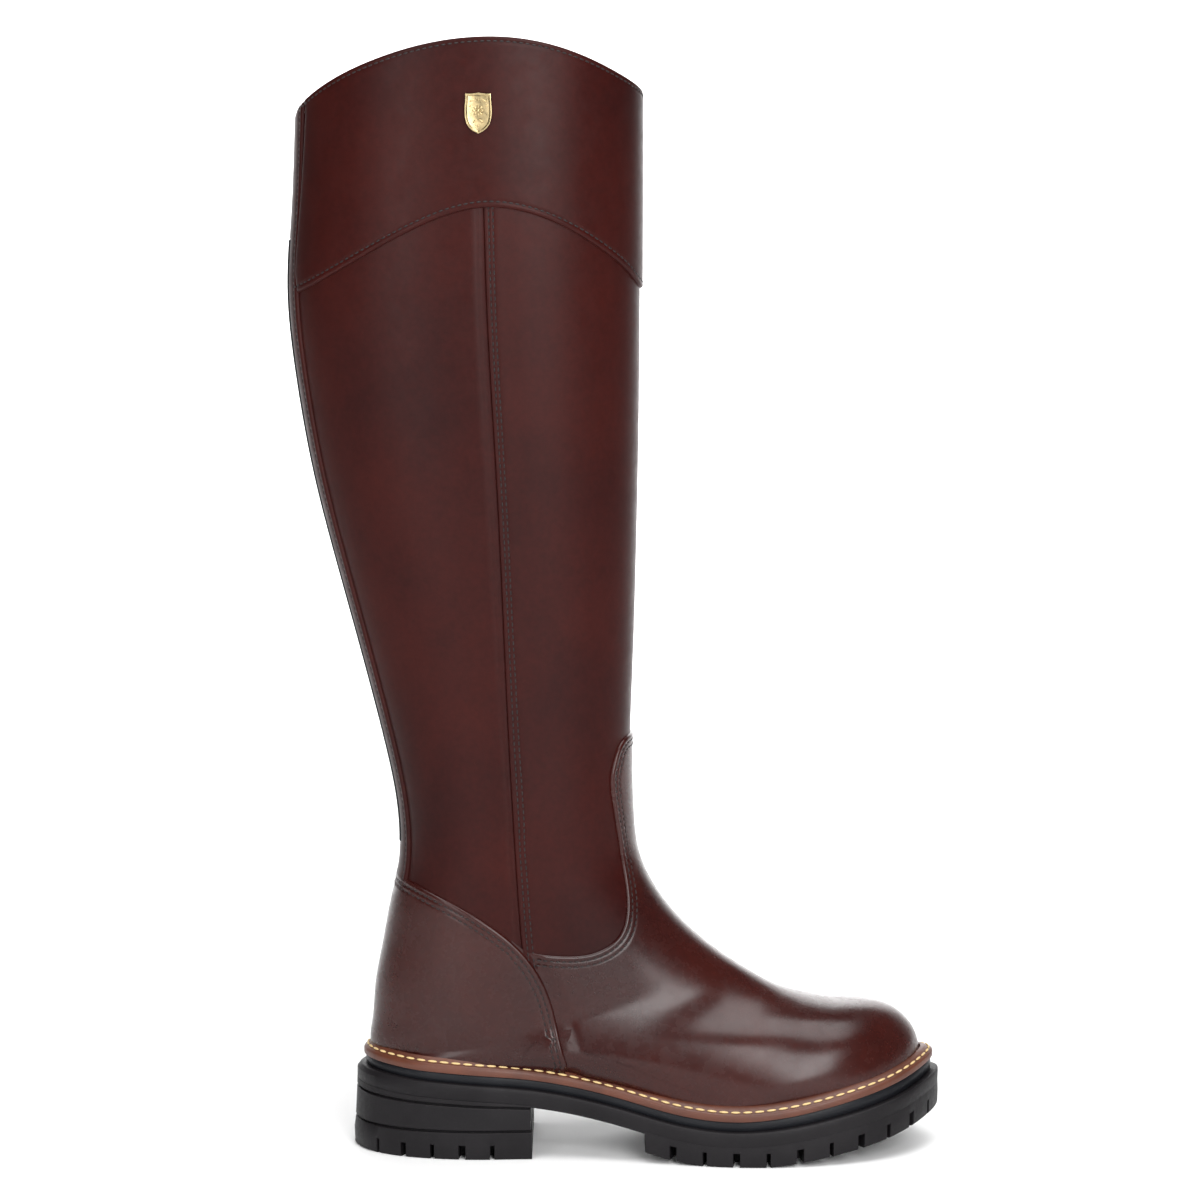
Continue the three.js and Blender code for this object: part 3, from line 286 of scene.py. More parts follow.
def surface(spots, offset=0):
    place, turn = spots[..., 0], spots[..., 1]
    return bare(place, turn) + outward(place, turn) * np.asarray(offset, float)[..., None]


def evenlySpots(spots, count):
    return evenly(spots, count, bare(spots[:, 0], spots[:, 1]))


searchPlaces = np.linspace(0, lastPlace, 3000)
searchEnds = [fan[key](searchPlaces) for key in ("frontX", "frontZ", "backX", "backZ")]


def locate(line, inner, offset=0.0):
    # Spots on one side of the form that are seen at places of a line in side view.
    frontX, frontZ, backX, backZ = searchEnds
    line = np.asarray(line, float)
    target = line.copy()
    for _ in range(4 if offset else 1):
        spots = []
        for x, z in target:
            across = (x - backX) * (frontZ - backZ) - (z - backZ) * (frontX - backX)
            share = ((x - backX) * (frontX - backX) + (z - backZ) * (frontZ - backZ)) / (
                (frontX - backX) ** 2 + (frontZ - backZ) ** 2
            )
            turns = np.sign(across[1:]) != np.sign(across[:-1])
            turns = np.nonzero(turns & (np.abs(share[1:] - 0.5) < 0.75))[0]
            i = turns[0] if len(turns) else int(np.argmin(np.abs(across)))
            i = min(i, len(across) - 2)
            mix = np.clip(across[i] / (across[i] - across[i + 1] + 1e-12), 0, 1)
            place = searchPlaces[i] + mix * (searchPlaces[i + 1] - searchPlaces[i])
            spots.append((place, np.clip(share[i] + mix * (share[i + 1] - share[i]), 0, 1)))
        place, share = np.array(spots).T
        spots = np.stack([place, turnOfShare(place, share, inner)], -1)
        if offset:
            seen = surface(spots, offset)
            target = line - (seen[:, [0, 2]] - bare(spots[:, 0], spots[:, 1])[:, [0, 2]])
    return spots


def turnOfShare(place, share, inner):
    at, _, rear, rearEnd = sectionAt(place, inner)
    ahead = np.clip((share - at["wide"]) / (1 - at["wide"]), 0, 1) ** (at["roundness"] / 2)
    behind = np.clip((at["wide"] - share) / rear, 0, 1) ** (at["roundness"] / 2)
    front = np.arccos(ahead) / (pi / 2)
    back = 1 + (pi / 2 - np.arccos(behind)) / (pi / 2 - rearEnd)
    turn = np.where(share >= at["wide"], front, np.clip(back, 1, 2))
    return turn if inner else -turn


def crossing(turns, line, start, end):
    # For each turn, the place between start and end where the form passes a height line.
    places = np.linspace(start, end, 500)
    grid = bare(places[:, None], np.asarray(turns)[None, :])
    over = grid[..., 2] - line(grid[..., 0], grid[..., 1])
    first = np.argmax(over < 0, axis=0)
    first = np.clip(first, 1, len(places) - 1)
    columns = np.arange(len(turns))
    a, b = over[first - 1, columns], over[first, columns]
    mix = np.clip(a / (a - b + 1e-12), 0, 1)
    return places[first - 1] + mix * (places[first] - places[first - 1])


def beside(edge, distance, side):
    # An edge moved over the surface, square to it, to its left (1) or right (-1) seen from outside.
    byPlace, byTurn = slopes(edge[:, 0], edge[:, 1])
    normal = outward(edge[:, 0], edge[:, 1])
    at = bare(edge[:, 0], edge[:, 1])
    along = np.gradient(at, axis=0)
    along /= np.maximum(np.linalg.norm(along, axis=1), 1e-9)[:, None]
    way = np.cross(normal, along) * side * distance
    pp, pt, tt = (byPlace**2).sum(1), (byPlace * byTurn).sum(1), (byTurn**2).sum(1)
    wp, wt = (way * byPlace).sum(1), (way * byTurn).sum(1)
    scale = np.maximum(pp * tt - pt * pt, 1e-9)
    moved = edge.copy()
    moved[:, 0] += (wp * tt - wt * pt) / scale
    moved[:, 1] += (wt * pp - wp * pt) / scale
    return moved


farOff = 99.0  # stands for a distance at which an edge has no effect


def patch(edgeA, edgeB, nearA, nearB, middle, sideA=1, sideB=-1):
    # Rows of spots from one edge to another, close together near each, and each row's distance from them.
    rows = [beside(edgeA, d, sideA) if d else edgeA for d in nearA]
    ends = [beside(edgeB, d, sideB) if d else edgeB for d in nearB]
    a, b = rows[-1], ends[-1]
    for i in range(1, middle + 1):
        rows.append(a + (b - a) * i / (middle + 1))
    fromA = [*nearA, *[farOff] * (middle + len(nearB))]
    fromB = [*[farOff] * (len(nearA) + middle), *reversed(nearB)]
    return np.array(rows + ends[::-1]), np.array(fromA)[:, None], np.array(fromB)[:, None]


def rolled(distance, low, high, radius):
    # Height of a rolled edge: it rises on a quarter round from low to high.
    share = np.clip(distance / radius, 0, 1)
    return low + (high - low) * np.sqrt(1 - (1 - share) ** 2)


def dent(distance, at, depth, width=0.5):
    return -depth * np.exp(-(((distance - at) / width) ** 2))


# Meshes


def gridMesh(bm, points):
    # A grid laid over an array of points, as a list of its rows of vertices.
    rows, columns = points.shape[:2]
    made = bmesh.ops.create_grid(bm, x_segments=columns - 1, y_segments=rows - 1, size=1)["verts"]
    lattice = [[None] * columns for _ in range(rows)]
    for vert in made:
        i, j = round((vert.co.x + 1) / 2 * (columns - 1)), round((vert.co.y + 1) / 2 * (rows - 1))
        lattice[j][i] = vert
        vert.co = points[j, i] * metre
    return lattice


def markSharp(bm, angle=38):
    for face in bm.faces:
        face.smooth = True
    for edge in bm.edges:
        if len(edge.link_faces) == 2 and edge.calc_face_angle(0) > radians(angle):
            edge.smooth = False


def newObject(name, data):
    made = bpy.data.objects.new(name, data)
    bpy.context.scene.collection.objects.link(made)
    return made


def meshObject(name, bm, material):
    mesh = bpy.data.meshes.new(name)
    bm.to_mesh(mesh)
    bm.free()
    mesh.materials.append(material)
    return newObject(name, mesh)


def makePiece(name, bm, material, replaced=(), body="boot", sharp=38):
    bmesh.ops.recalc_face_normals(bm, faces=bm.faces[:])
    markSharp(bm, sharp)
    piece = meshObject(name, bm, material)
    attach(piece, body)
    if replaced:
        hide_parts(*replaced)
    return piece


def skin(name, spots, outer, inner, material, replaced=(), window=None):
    # A closed layer of leather over a patch of spots, from one height over the form to another.
    bm = bmesh.new()
    outerPoints = surface(spots, np.broadcast_to(outer, spots.shape[:2]))
    innerPoints = surface(spots, np.broadcast_to(inner, spots.shape[:2]))
    spot = bm.verts.layers.int.new("spot")
    lattice = gridMesh(bm, outerPoints)
    columns = spots.shape[1]
    for j, row in enumerate(lattice):
        for i, vert in enumerate(row):
            vert[spot] = j * columns + i
    if window is not None:
        gone = [f for f in bm.faces if all(window[divmod(v[spot], columns)] for v in f.verts)]
        bmesh.ops.delete(bm, geom=gone, context="FACES")
    extruded = bmesh.ops.extrude_face_region(bm, geom=bm.faces[:])["geom"]
    for element in extruded:
        if isinstance(element, bmesh.types.BMVert):
            element.co = innerPoints[divmod(element[spot], columns)] * metre
    bmesh.ops.remove_doubles(bm, verts=bm.verts[:], dist=2e-6)
    return makePiece(name, bm, material, replaced)


# Materials


def feed(node, inputs):
    # Links a node's inputs to sockets, or sets them.
    for key, value in inputs.items():
        if isinstance(value, bpy.types.NodeSocket):
            node.id_data.links.new(value, node.inputs[key])
        else:
            node.inputs[key].default_value = value


def addNode(tree, kind, inputs=None, **settings):
    node = tree.nodes.new(kind)
    for key, value in settings.items():
        setattr(node, key, value)
    feed(node, inputs or {})
    return node


def material(name):
    made = bpy.data.materials.new(name)
    made.use_nodes = True
    return made, made.node_tree, addNode(made.node_tree, "ShaderNodeTexCoord").outputs["Object"]


def noiseFrom(tree, place, scale, detail=3, rough=0.5):
    inputs = {"Vector": place, "Scale": scale, "Detail": detail, "Roughness": rough}
    return addNode(tree, "ShaderNodeTexNoise", inputs).outputs["Fac"]


def ramp(tree, factor, *stops):
    node = addNode(tree, "ShaderNodeValToRGB", {"Fac": factor})
    elements = node.color_ramp.elements
    while len(elements) < len(stops):
        elements.new(0.5)
    for element, (position, colour) in zip(elements, stops):
        element.position = position
        element.color = (*colour, 1) if len(colour) == 3 else colour
    return node.outputs["Color"]


def ranged(tree, value, low, high, start=0.0, end=1.0):
    inputs = {"Value": value, "From Min": start, "From Max": end, "To Min": low, "To Max": high}
    return addNode(tree, "ShaderNodeMapRange", inputs).outputs["Result"]


def mixed(tree, factor, a, b, blend="MIX"):
    a, b = ((*value, 1) if isinstance(value, tuple) else value for value in (a, b))
    node = addNode(tree, "ShaderNodeMix", {0: factor, 6: a, 7: b}, data_type="RGBA", blend_type=blend)
    return node.outputs[2]


def dress(made, tone, rough, heights, allOver=None):
    # Colour, roughness and what is the same all over, then bumps one after another: a height, how
    # strong it is and how deep it is in metres.
    tree, inputs = made.node_tree, {}
    for height, strength, depth in heights:
        inputs.update({"Height": height, "Strength": strength, "Distance": depth})
        inputs["Normal"] = addNode(tree, "ShaderNodeBump", inputs).outputs["Normal"]
    inputs = {"Base Color": tone, "Roughness": rough, "Normal": inputs["Normal"], **(allOver or {})}
    feed(tree.nodes["Principled BSDF"], inputs)
    return made


def leather(name, dark, light, gloss, grain=0.35, coat=0.0, specular=0.5):
    made, tree, place = material(name)
    cloud, fine = noiseFrom(tree, place, 14, 4, 0.6), noiseFrom(tree, place, 420, 3, 0.6)
    speck = ranged(tree, fine, 0.86, 1.1, 0.3, 0.7)
    specks = addNode(tree, "ShaderNodeCombineColor", {0: speck, 1: speck, 2: speck}).outputs[0]
    tone = mixed(tree, 1.0, ramp(tree, cloud, (0.32, dark), (0.72, light)), specks, "MULTIPLY")
    pebble = addNode(tree, "ShaderNodeTexVoronoi", {"Vector": place, "Scale": 1150, "Randomness": 1.0})
    rough = ranged(tree, noiseFrom(tree, place, 160, 4, 0.65), gloss - 0.05, gloss + 0.07, 0.3, 0.7)
    heights = [(pebble.outputs["Distance"], -grain, 0.0001), (fine, grain * 0.8, 0.00018),
               (noiseFrom(tree, place, 55, 2), 0.1, 0.0006)]
    allOver = {"Coat Weight": coat, "Coat Roughness": 0.22, "Specular IOR Level": specular}
    return dress(made, tone, rough, heights, allOver)


def webbing(name, colour, ribs, depth=0.0003):
    made, tree, place = material(name)
    inputs = {"Vector": place, "Scale": ribs, "Distortion": 0.4, "Detail": 1.0}
    wave = addNode(tree, "ShaderNodeTexWave", inputs, bands_direction="Y")
    inputs = {"Vector": place, "Scale": ribs * 1.4, "Distortion": 0.6}
    weave = addNode(tree, "ShaderNodeTexWave", inputs, bands_direction="Z")
    pale = tuple(min(1, c * 2.2 + 0.01) for c in colour)
    tone = mixed(tree, ranged(tree, noiseFrom(tree, place, 600, 3), 0, 0.6, 0.4, 0.8), colour, pale)
    return dress(made, tone, 0.85, [(wave.outputs["Fac"], 0.8, depth), (weave.outputs["Fac"], 0.5, depth)])


def plainSolid(name, colour, rough, metal=0.0, mottle=0.3, scale=120, depth=0.0002):
    made, tree, place = material(name)
    cloud = noiseFrom(tree, place, scale, 4, 0.6)
    tone = ramp(tree, cloud, (0.3, tuple(c * (1 - mottle) for c in colour)), (0.7, colour))
    gloss = ranged(tree, cloud, rough - 0.07, rough + 0.07, 0.3, 0.7)
    return dress(made, tone, gloss, [(noiseFrom(tree, place, scale * 6, 3), 0.3, depth)], {"Metallic": metal})


shaftLeather = leather("shaft leather", (0.02, 0.003, 0.0026), (0.037, 0.0052, 0.0038), 0.36, 0.14, 0, 0.12)
footLeather = leather("foot leather", (0.021, 0.0032, 0.0026), (0.041, 0.006, 0.0037), 0.26, 0.1, 0.2, 0.25)
liningLeather = leather("lining leather", (0.19, 0.105, 0.055), (0.27, 0.16, 0.09), 0.62, 0.25)
elasticWeb = webbing("elastic webbing", (0.006, 0.0055, 0.006), 900)
darkThread = plainSolid("dark thread", (0.009, 0.003, 0.0028), 0.6, 0, 0.3, 900)
print("materials ready")


# Leather pieces of the upper


upperSizes = {
    "overlay": 1.3, "turn": 1.1, "stitchFromEdge": 2.7, "secondStitch": 5.1, "rimStitch": 2.0,
    # rows of spots near an edge, by their distance from it
    "near": (0, 0.1, 0.3, 0.6, 0.95, 1.3, 1.8, 2.3, 2.7, 3.1, 3.8, 4.6, 5.1, 5.6),
    "shaftNear": (6.6, 8.5), "footNear": (6.1, 6.6, 7.2, 8.0, 9.0),
    "rimNear": (0, 0.12, 0.35, 0.7, 1.1, 1.6, 2.0, 2.4, 3.0, 4.0),
    "strip": 29, "stripNear": (0, 0.15, 0.4, 0.75, 1.1, 1.7, 2.3, 2.9, 4.0, 5.6), "stripStitch": 2.3,
    "stripTop": 466, "stripBottom": 118, "stripSeam": 1.2,
    "gore": 12.4, "goreBottom": 139, "goreTop": 409, "goreGap": 0.25,
    "zipSlot": 9.4, "zipTop": 455, "zipSeam": (106, 113), "zipSeamHalf": 0.25,
    "panelTop": 438, "panelBottom": 86, "underFoxing": 11,  # how far the vamp runs under the foxing
    "cuffEdge": [(-165, 374), (-138.7, 387.1), (-102.9, 407.9), (-85.5, 417), (-58.2, 425.2), (-24.8, 417.4),
                 (-7.5, 406.6), (5.5, 394.5), (13, 382.6), (24, 364)],
    "sideSeam": [(-58.2, 438), (-57, 385), (-52.5, 297), (-48.9, 209), (-44.7, 128), (-42.6, 98),
                 (-41.5, 86)],
    "vampEdge": [(7.5, 186.6), (2.6, 182.6), (-1.2, 176.5), (-2.2, 171.6), (-1.2, 158), (3.6, 126.5),
                 (4.5, 111), (1.4, 101), (-7.5, 94.3), (-25.3, 92.5), (-43.5, 94.6)],
    "foxingEdge": [(-104.5, 126), (-98.5, 124.9), (-78.5, 118.1), (-60.8, 109), (-43.5, 95.6), (-34.2, 83),
                   (-28.4, 68.1), (-24.6, 52), (-21.9, 41.4)],
}
topMiddle = naturalSpline([-150, -132, -106, -59, -9, 14], [459, 468, 474, 477.7, 475.5, 472.6])
topTilt = naturalSpline([-150, -106, -59, -10, 14], [9, 16.8, 20.7, 17, 11])
cuffEdgeFine = alongLine(upperSizes["cuffEdge"], 300)


def topLine(x, y):
    return topMiddle(x) - topTilt(x) * y / 42


def cuffLine(x, y):
    return np.interp(x, cuffEdgeFine[:, 0], cuffEdgeFine[:, 1])


def turnAtY(place, y, inner):
    # Turn near the back of the form at which it is as far out as y.
    turns = np.linspace(1.0, backTurn, 400) * (1 if inner else -1)
    grid = bare(np.asarray(place)[:, None], turns[None, :])
    width = np.abs(grid[..., 1])
    hit = np.argmax(width < y, axis=1)
    return turns[np.clip(hit, 1, None)]


def zipEdge(side, count, top, bottom):
    # The edge of the zip's slot in front of it (1) or behind it (-1), closing to a seam under the zip.
    z = np.linspace(top, bottom, count)
    seam = upperSizes["zipSeamHalf"]
    half = seam + (upperSizes["zipSlot"] / 2 - seam) * eased(z, *upperSizes["zipSeam"])
    return locate(np.stack([zipX(z) + side * half, z], 1), True)


def stitchGroove(distance, depth=0.2):
    return dent(distance, upperSizes["stitchFromEdge"], depth)


def secondGroove(distance, depth=0.16):
    return dent(distance, upperSizes["secondStitch"], depth)


def foldedEdge(distance, height):
    # Height of leather with its edge turned in and a row of stitches beside it.
    turned = rolled(distance, 0.12, height, upperSizes["turn"])
    return turned + stitchGroove(distance, 0.22) + dent(distance, 1.5, -0.1, 0.6)


def shaftSkin(name, spots, outer, inner, window=None):
    skin(name, spots, outer, inner, shaftLeather, [name], window)


near, footNear = (upperSizes["near"] + upperSizes[key] for key in ("shaftNear", "footNear"))
stitchRow, secondRow = (near.index(upperSizes[key]) for key in ("stitchFromEdge", "secondStitch"))
rimRow = upperSizes["rimNear"].index(upperSizes["rimStitch"])
seamPaths = {}  # stitch rows: a path of spots and the height of the leather there

# front panel: from its folded edge on the outer side round the front to the zip
seamLine = alongLine(upperSizes["sideSeam"], 170)
frontEdge = locate(seamLine, False, 0.4)
zipFront = zipEdge(1, 170, upperSizes["panelTop"], upperSizes["panelBottom"])
spots, fromSeam, fromZip = patch(frontEdge, zipFront, near, near, 64, 1, -1)
ridge = 0.45 * np.exp(-((np.minimum(fromSeam, 20) / 9) ** 2)) * (fromSeam > 0.5)
height = rolled(fromSeam, -0.75, 0, 1.2) + ridge + stitchGroove(fromSeam, 0.22) + secondGroove(fromSeam, 0.2)
height = height + rolled(fromZip, -0.6, 0, 1.0) + stitchGroove(fromZip)
shaftSkin("front_shaft_panel", spots, height, -1.2)
seamPaths["side_seam"] = [(spots[stitchRow], 0.22), (spots[secondRow], 0.12)]
seamPaths["zip_seam_front"] = [(spots[-1 - stitchRow], -0.12)]

# rear panels: from the back strip to the seam, and to the zip
stripPlaces = np.linspace(fanPlaces[3] - 30, fanPlaces[12] + 8, 170)
for name, inner in (("rear_lateral_panel", False), ("rear_medial_panel", True)):
    stripEdge = np.stack([stripPlaces, turnAtY(stripPlaces, upperSizes["strip"] / 2 - 6, inner)], 1)
    if inner:
        far = zipEdge(-1, 170, upperSizes["panelTop"], upperSizes["panelBottom"])
        spots, _, fromEnd = patch(stripEdge, far, (0, 3, 6), near, 40, -1, 1)
        height = rolled(fromEnd, -0.6, 0, 1.0) + stitchGroove(fromEnd)
        seamPaths["zip_seam_rear"] = [(spots[-1 - stitchRow], -0.12)]
    else:
        far, farNear = beside(frontEdge, 4.0, 1), (0, 1.5, 3, 4, 4.6, 5.4, 6.5, 8, 10)
        spots, _, fromEnd = patch(stripEdge, far, (0, 3, 6), farNear, 40, 1, -1)
        height = -0.95 * (1 - eased(fromEnd, 3.6, 6.5))
    shaftSkin(name, spots, height, -1.3)
print("shaft panels ready")

# cuff: a front half and a rear half that meet the zip, rolled at the lower edge and at the rim
halfStrip, halfGore = upperSizes["strip"] / 2, upperSizes["gore"] / 2
stripSeam = halfStrip - upperSizes["stripSeam"]
cuffDeepest = fanPlaces[4] + 14
for name, way, count in (("cuff_front", 1, 190), ("cuff_rear", -1, 60)):
    stripTurn = float(turnAtY(fanPlaces[1:2], stripSeam, way < 0)[0])
    zipTurn = float(zipEdge(way, 3, upperSizes["zipTop"], 420)[0, 1])
    turns = np.linspace(stripTurn, zipTurn, count)
    low = np.stack([crossing(turns, cuffLine, 0, cuffDeepest), turns], 1)
    top = np.stack([crossing(turns, topLine, 0, fanPlaces[3]), turns], 1)
    spots, fromLow, fromTop = patch(low, top, near, upperSizes["rimNear"], 34, way, -way)
    # the slot beside the zip and the seam beside the strip keep their straight edges
    zipShift = (bare(spots[..., 0], spots[..., 1])[..., 2] - upperSizes["zipTop"]) * zipLean
    acrossAt = np.linalg.norm(slopes(spots[..., 0], zipTurn)[1], axis=-1)
    spots[..., 1] -= eased(spots[..., 1], stripTurn, zipTurn) ** 6 * zipShift / acrossAt
    fromStrip = np.abs(bare(spots[..., 0], turns)[..., 1]) - stripSeam
    fromStrip = np.where(np.abs(spots[..., 1]) > 1.4, fromStrip, farOff)
    seen = bare(spots[..., 0], spots[..., 1])
    fromZip = np.abs(seen[..., 0] - zipX(seen[..., 2])) - upperSizes["zipSlot"] / 2
    fromZip = np.where(spots[..., 1] > 0.5, fromZip, farOff)
    height = foldedEdge(fromLow, upperSizes["overlay"])
    height = height + rolled(fromTop, -0.7, 0, 0.8) + dent(fromTop, 2.2, 0.18)
    height = height - 1.25 * (1 - eased(fromStrip, 0.2, 2.6)) - 0.5 * (1 - eased(fromZip, 0, 1.0))
    inside = np.where(fromLow < 8, 0.0, -1.5)
    shaftSkin(name, spots, height, np.minimum(inside, height - 0.1))
    seamPaths[name] = [(spots[stitchRow], 1.1)]
    seamPaths[name + "_rim"] = [(spots[-1 - rimRow], 1.15)]
print("cuff ready")

# back strip with the elastic let into it
sideColumnsY = {round(halfStrip - d, 3) for d in upperSizes["stripNear"]}
sideColumnsY = sorted(sideColumnsY | {halfGore + d for d in (0, 0.3, 0.7, 1.2, 2)}, reverse=True)
goreMiddle = np.linspace(-halfGore, halfGore, 9)[1:-1]
yColumns = np.array([*(-y for y in sideColumnsY), *goreMiddle, *reversed(sideColumnsY)])


def stripGrid(columns, topPlace, bottomPlace, rows, breaks=()):
    # Spots of an upright band at the back: columns are distances from the middle line.
    placesDown = np.array(sorted([*np.linspace(topPlace, bottomPlace, rows), *breaks]))
    fine = np.concatenate([np.linspace(-1.4, -backTurn, 500), np.linspace(backTurn, 1.4, 500)])
    spots = np.zeros((len(placesDown), len(columns), 2))
    for j, place in enumerate(placesDown):
        y = bare(place, fine)[:, 1]
        spots[j, :, 0] = place
        spots[j, :, 1] = np.interp(columns, y, np.where(fine < 0, fine + 2 * backTurn, fine))
    spots[..., 1] = np.where(spots[..., 1] > backTurn, spots[..., 1] - 2 * backTurn, spots[..., 1])
    return spots


def placeAtBack(z):
    places = np.linspace(0, fanPlaces[-6], 2000)
    return float(np.interp(-z, -fan["backZ"](places), places))


goreEnds = [placeAtBack(z) for z in (upperSizes["goreTop"], upperSizes["goreBottom"])]
breaks = [goreEnds[0] + d for d in (-1.2, -0.7, -0.3, 0)] + [goreEnds[1] + d for d in (0, 0.3, 0.7, 1.2)]
stripEnds = [placeAtBack(upperSizes[key]) for key in ("stripTop", "stripBottom")]
spots = stripGrid(yColumns, *stripEnds, 130, breaks)
over = crossing(spots[0, :, 1], topLine, 0, fanPlaces[3])
for i in range(spots.shape[1]):
    column = spots[:, i, 0]
    spots[:, i, 0] = column + (over[i] - column[0]) * (1 - eased(column, column[0], column[0] + 40))
edgeWay = halfStrip - np.abs(yColumns)[None, :] + np.zeros(spots.shape[:2])
beyondEnds = np.maximum(goreEnds[0] - spots[..., 0], spots[..., 0] - goreEnds[1])
goreWay = np.maximum(np.abs(yColumns)[None, :] - halfGore, beyondEnds)
fromRim = spots[..., 0] - over[None, :]
height = rolled(edgeWay, 0.1, upperSizes["overlay"], 1.0) + dent(edgeWay, 2.5, 0.2)
height = height - 0.9 * (1 - rolled(goreWay, 0, 1, 1.0)) + rolled(fromRim, -0.7, 0, 0.8)
shaftSkin("back_strip", spots, height, -0.1, goreWay <= 0.01)
stripStitch = halfStrip - upperSizes["stripStitch"]
stitchColumns = [int(np.argmin(np.abs(yColumns - y))) for y in (-stripStitch, stripStitch)]
seamPaths["back_strip"] = [(spots[:, i], 1.12) for i in stitchColumns]

halfElastic = halfGore - upperSizes["goreGap"]
goreColumns = np.linspace(-halfElastic, halfElastic, 49)
spots = stripGrid(goreColumns, goreEnds[0] + 0.3, goreEnds[1] - 0.3, 120)
ribs = 0.14 * np.cos(np.arange(49) * pi / 2)[None, :]
edges = 0.7 * (1 - rolled(halfElastic - np.abs(goreColumns), 0, 1, 0.8))[None, :]
skin("elastic_gore", spots, 1.5 + ribs - edges, -0.4, elasticWeb, ["elastic_gore"])
print("back strip ready")

# vamp and heel foxing
vampLine = alongLine(upperSizes["vampEdge"], 150)
foxLine = alongLine(upperSizes["foxingEdge"], 150)
meet = int(np.argmin(np.abs(foxLine[:, 0] + 43.5)))
underFoxing = upperSizes["underFoxing"]


def featherPlace(x, inner):
    # Place where the turn of the form under the foot reaches a place along the foot.
    places = np.linspace(soleStart, lastPlace, 400)
    along = bare(places, 2.0 if inner else -2.0)[:, 0]
    return float(np.interp(x, along, places))


def vampHalf(inner):
    # One side of the vamp: its edge, on under the foxing and down inside it, and the rim of the toe.
    sign = 1 if inner else -1
    upper = locate(vampLine, inner, 1.0)
    upper[0, 1] = 0
    upper[0, 0] = float(np.interp(-188.5, -fan["frontZ"](searchPlaces), searchPlaces))
    blend = (1 - eased(np.arange(len(upper)), 0, 16))[:, None]
    upper[:, :1] = upper[:, :1] * (1 - blend) + upper[0, 0] * blend
    joint = vampLine[-1]
    under = joint + np.array([[-4, 0.2], [-8, 0.4], [-underFoxing, 0.4]])
    lower = foxLine[meet:] - (underFoxing, 0)
    lower = locate(np.vstack([under, lower[lower[:, 1] < joint[1] - 6]]), inner, 1.0)
    edge = evenlySpots(np.vstack([upper, lower]), 220)
    edge[-1] = (featherPlace(foxLine[-1, 0] - underFoxing, inner), sign * 2)
    end = np.stack([np.full(220, lastPlace), sign * np.linspace(0, 2, 220)], 1)
    return edge, end


halves = []
for inner in (False, True):
    edge, end = vampHalf(inner)
    sign = 1 if inner else -1
    rows, fromEdge, _ = patch(edge, end, footNear, (0,), 90, -sign, sign)
    rows[:, 0, 1] = 0
    rows[:, -1, 1] = sign * 2
    rows[..., 1] = sign * np.clip(rows[..., 1] * sign, 0, 2)
    rows[..., 0] = np.clip(rows[..., 0], 0, lastPlace)
    halves.append(rows)
spots = np.concatenate([halves[0][:, ::-1], halves[1][:, 1:]], 1)
seen = surface(spots, 1.0)
ahead = seen[..., 0] - np.interp(seen[..., 2], foxLine[::-1, 1], foxLine[::-1, 0])
height = foldedEdge(fromEdge, upperSizes["overlay"]) + secondGroove(fromEdge)
height = 0.2 + (height - 0.2) * eased(ahead, 0.6, 9)  # thinned where it runs under the foxing
skin("vamp", spots, height, -0.05, footLeather, ["vamp"])
stitchRows = ((stitchRow, 1.1), (secondRow, 1.15))
shown = np.nonzero(ahead[secondRow] > 0.5)[0]
seamPaths["vamp"] = [(spots[k][shown], lift) for k, lift in stitchRows]

foxHalves = []
for inner in (False, True):
    sign = 1 if inner else -1
    edge = locate(foxLine, inner, 1.0)
    edge[0] = (placeAtBack(126.5), sign * backTurn)
    edge[-1] = (featherPlace(foxLine[-1, 0], inner), sign * 2)
    edge = evenlySpots(edge, 150)
    bottomPlaces = np.linspace(soleStart, edge[-1, 0], 150)
    bottom = np.stack([bottomPlaces, np.full(150, sign * 2.0)], 1)
    bottom = evenlySpots(bottom, 150)
    bottom[0, 1] = sign * backTurn
    bottom[1:, 1] = sign * 2.0
    rows, fromEdge, _ = patch(edge, bottom, footNear, (0,), 44, sign, -sign)
    rows[..., 1] = sign * np.clip(rows[..., 1] * sign, 0, backTurn)
    rows[:, 0, 1] = sign * backTurn
    rows[:, -1] = edge[-1]
    foxHalves.append(rows)
spots = np.concatenate([foxHalves[0][:, ::-1], foxHalves[1][:, 1:]], 1)
height = foldedEdge(fromEdge, upperSizes["overlay"] + 0.02) + secondGroove(fromEdge)
skin("heel_foxing", spots, height, -0.05, footLeather, ["heel_foxing"])
seamPaths["heel_foxing"] = [(half[k], lift) for half in foxHalves for k, lift in stitchRows]
print("vamp and foxing ready")


# Linings, zip tapes and the guard behind the zip


liningSizes = {
    "outer": -2.9, "inner": -4.1, "slot": 5.7, "underRim": 1.2, "shaftBottom": 112.2, "footTop": 111.8,
    "rows": 90, "columns": 121, "footRows": 110, "footColumns": 141, "footCorner": 1.97,
}
z = np.linspace(470, 100, 90)
slotEdges = [locate(np.stack([zipX(z) + side * liningSizes["slot"], z], 1), True) for side in (1, -1)]


def liningTurns(places):
    # Turns from the front of the zip right round the shaft to its rear, for rows of places.
    front, rear = (np.interp(places, edge[:, 0], edge[:, 1]) for edge in slotEdges)
    return front + (rear - 2 * backTurn - front) * np.linspace(0, 1, liningSizes["columns"])


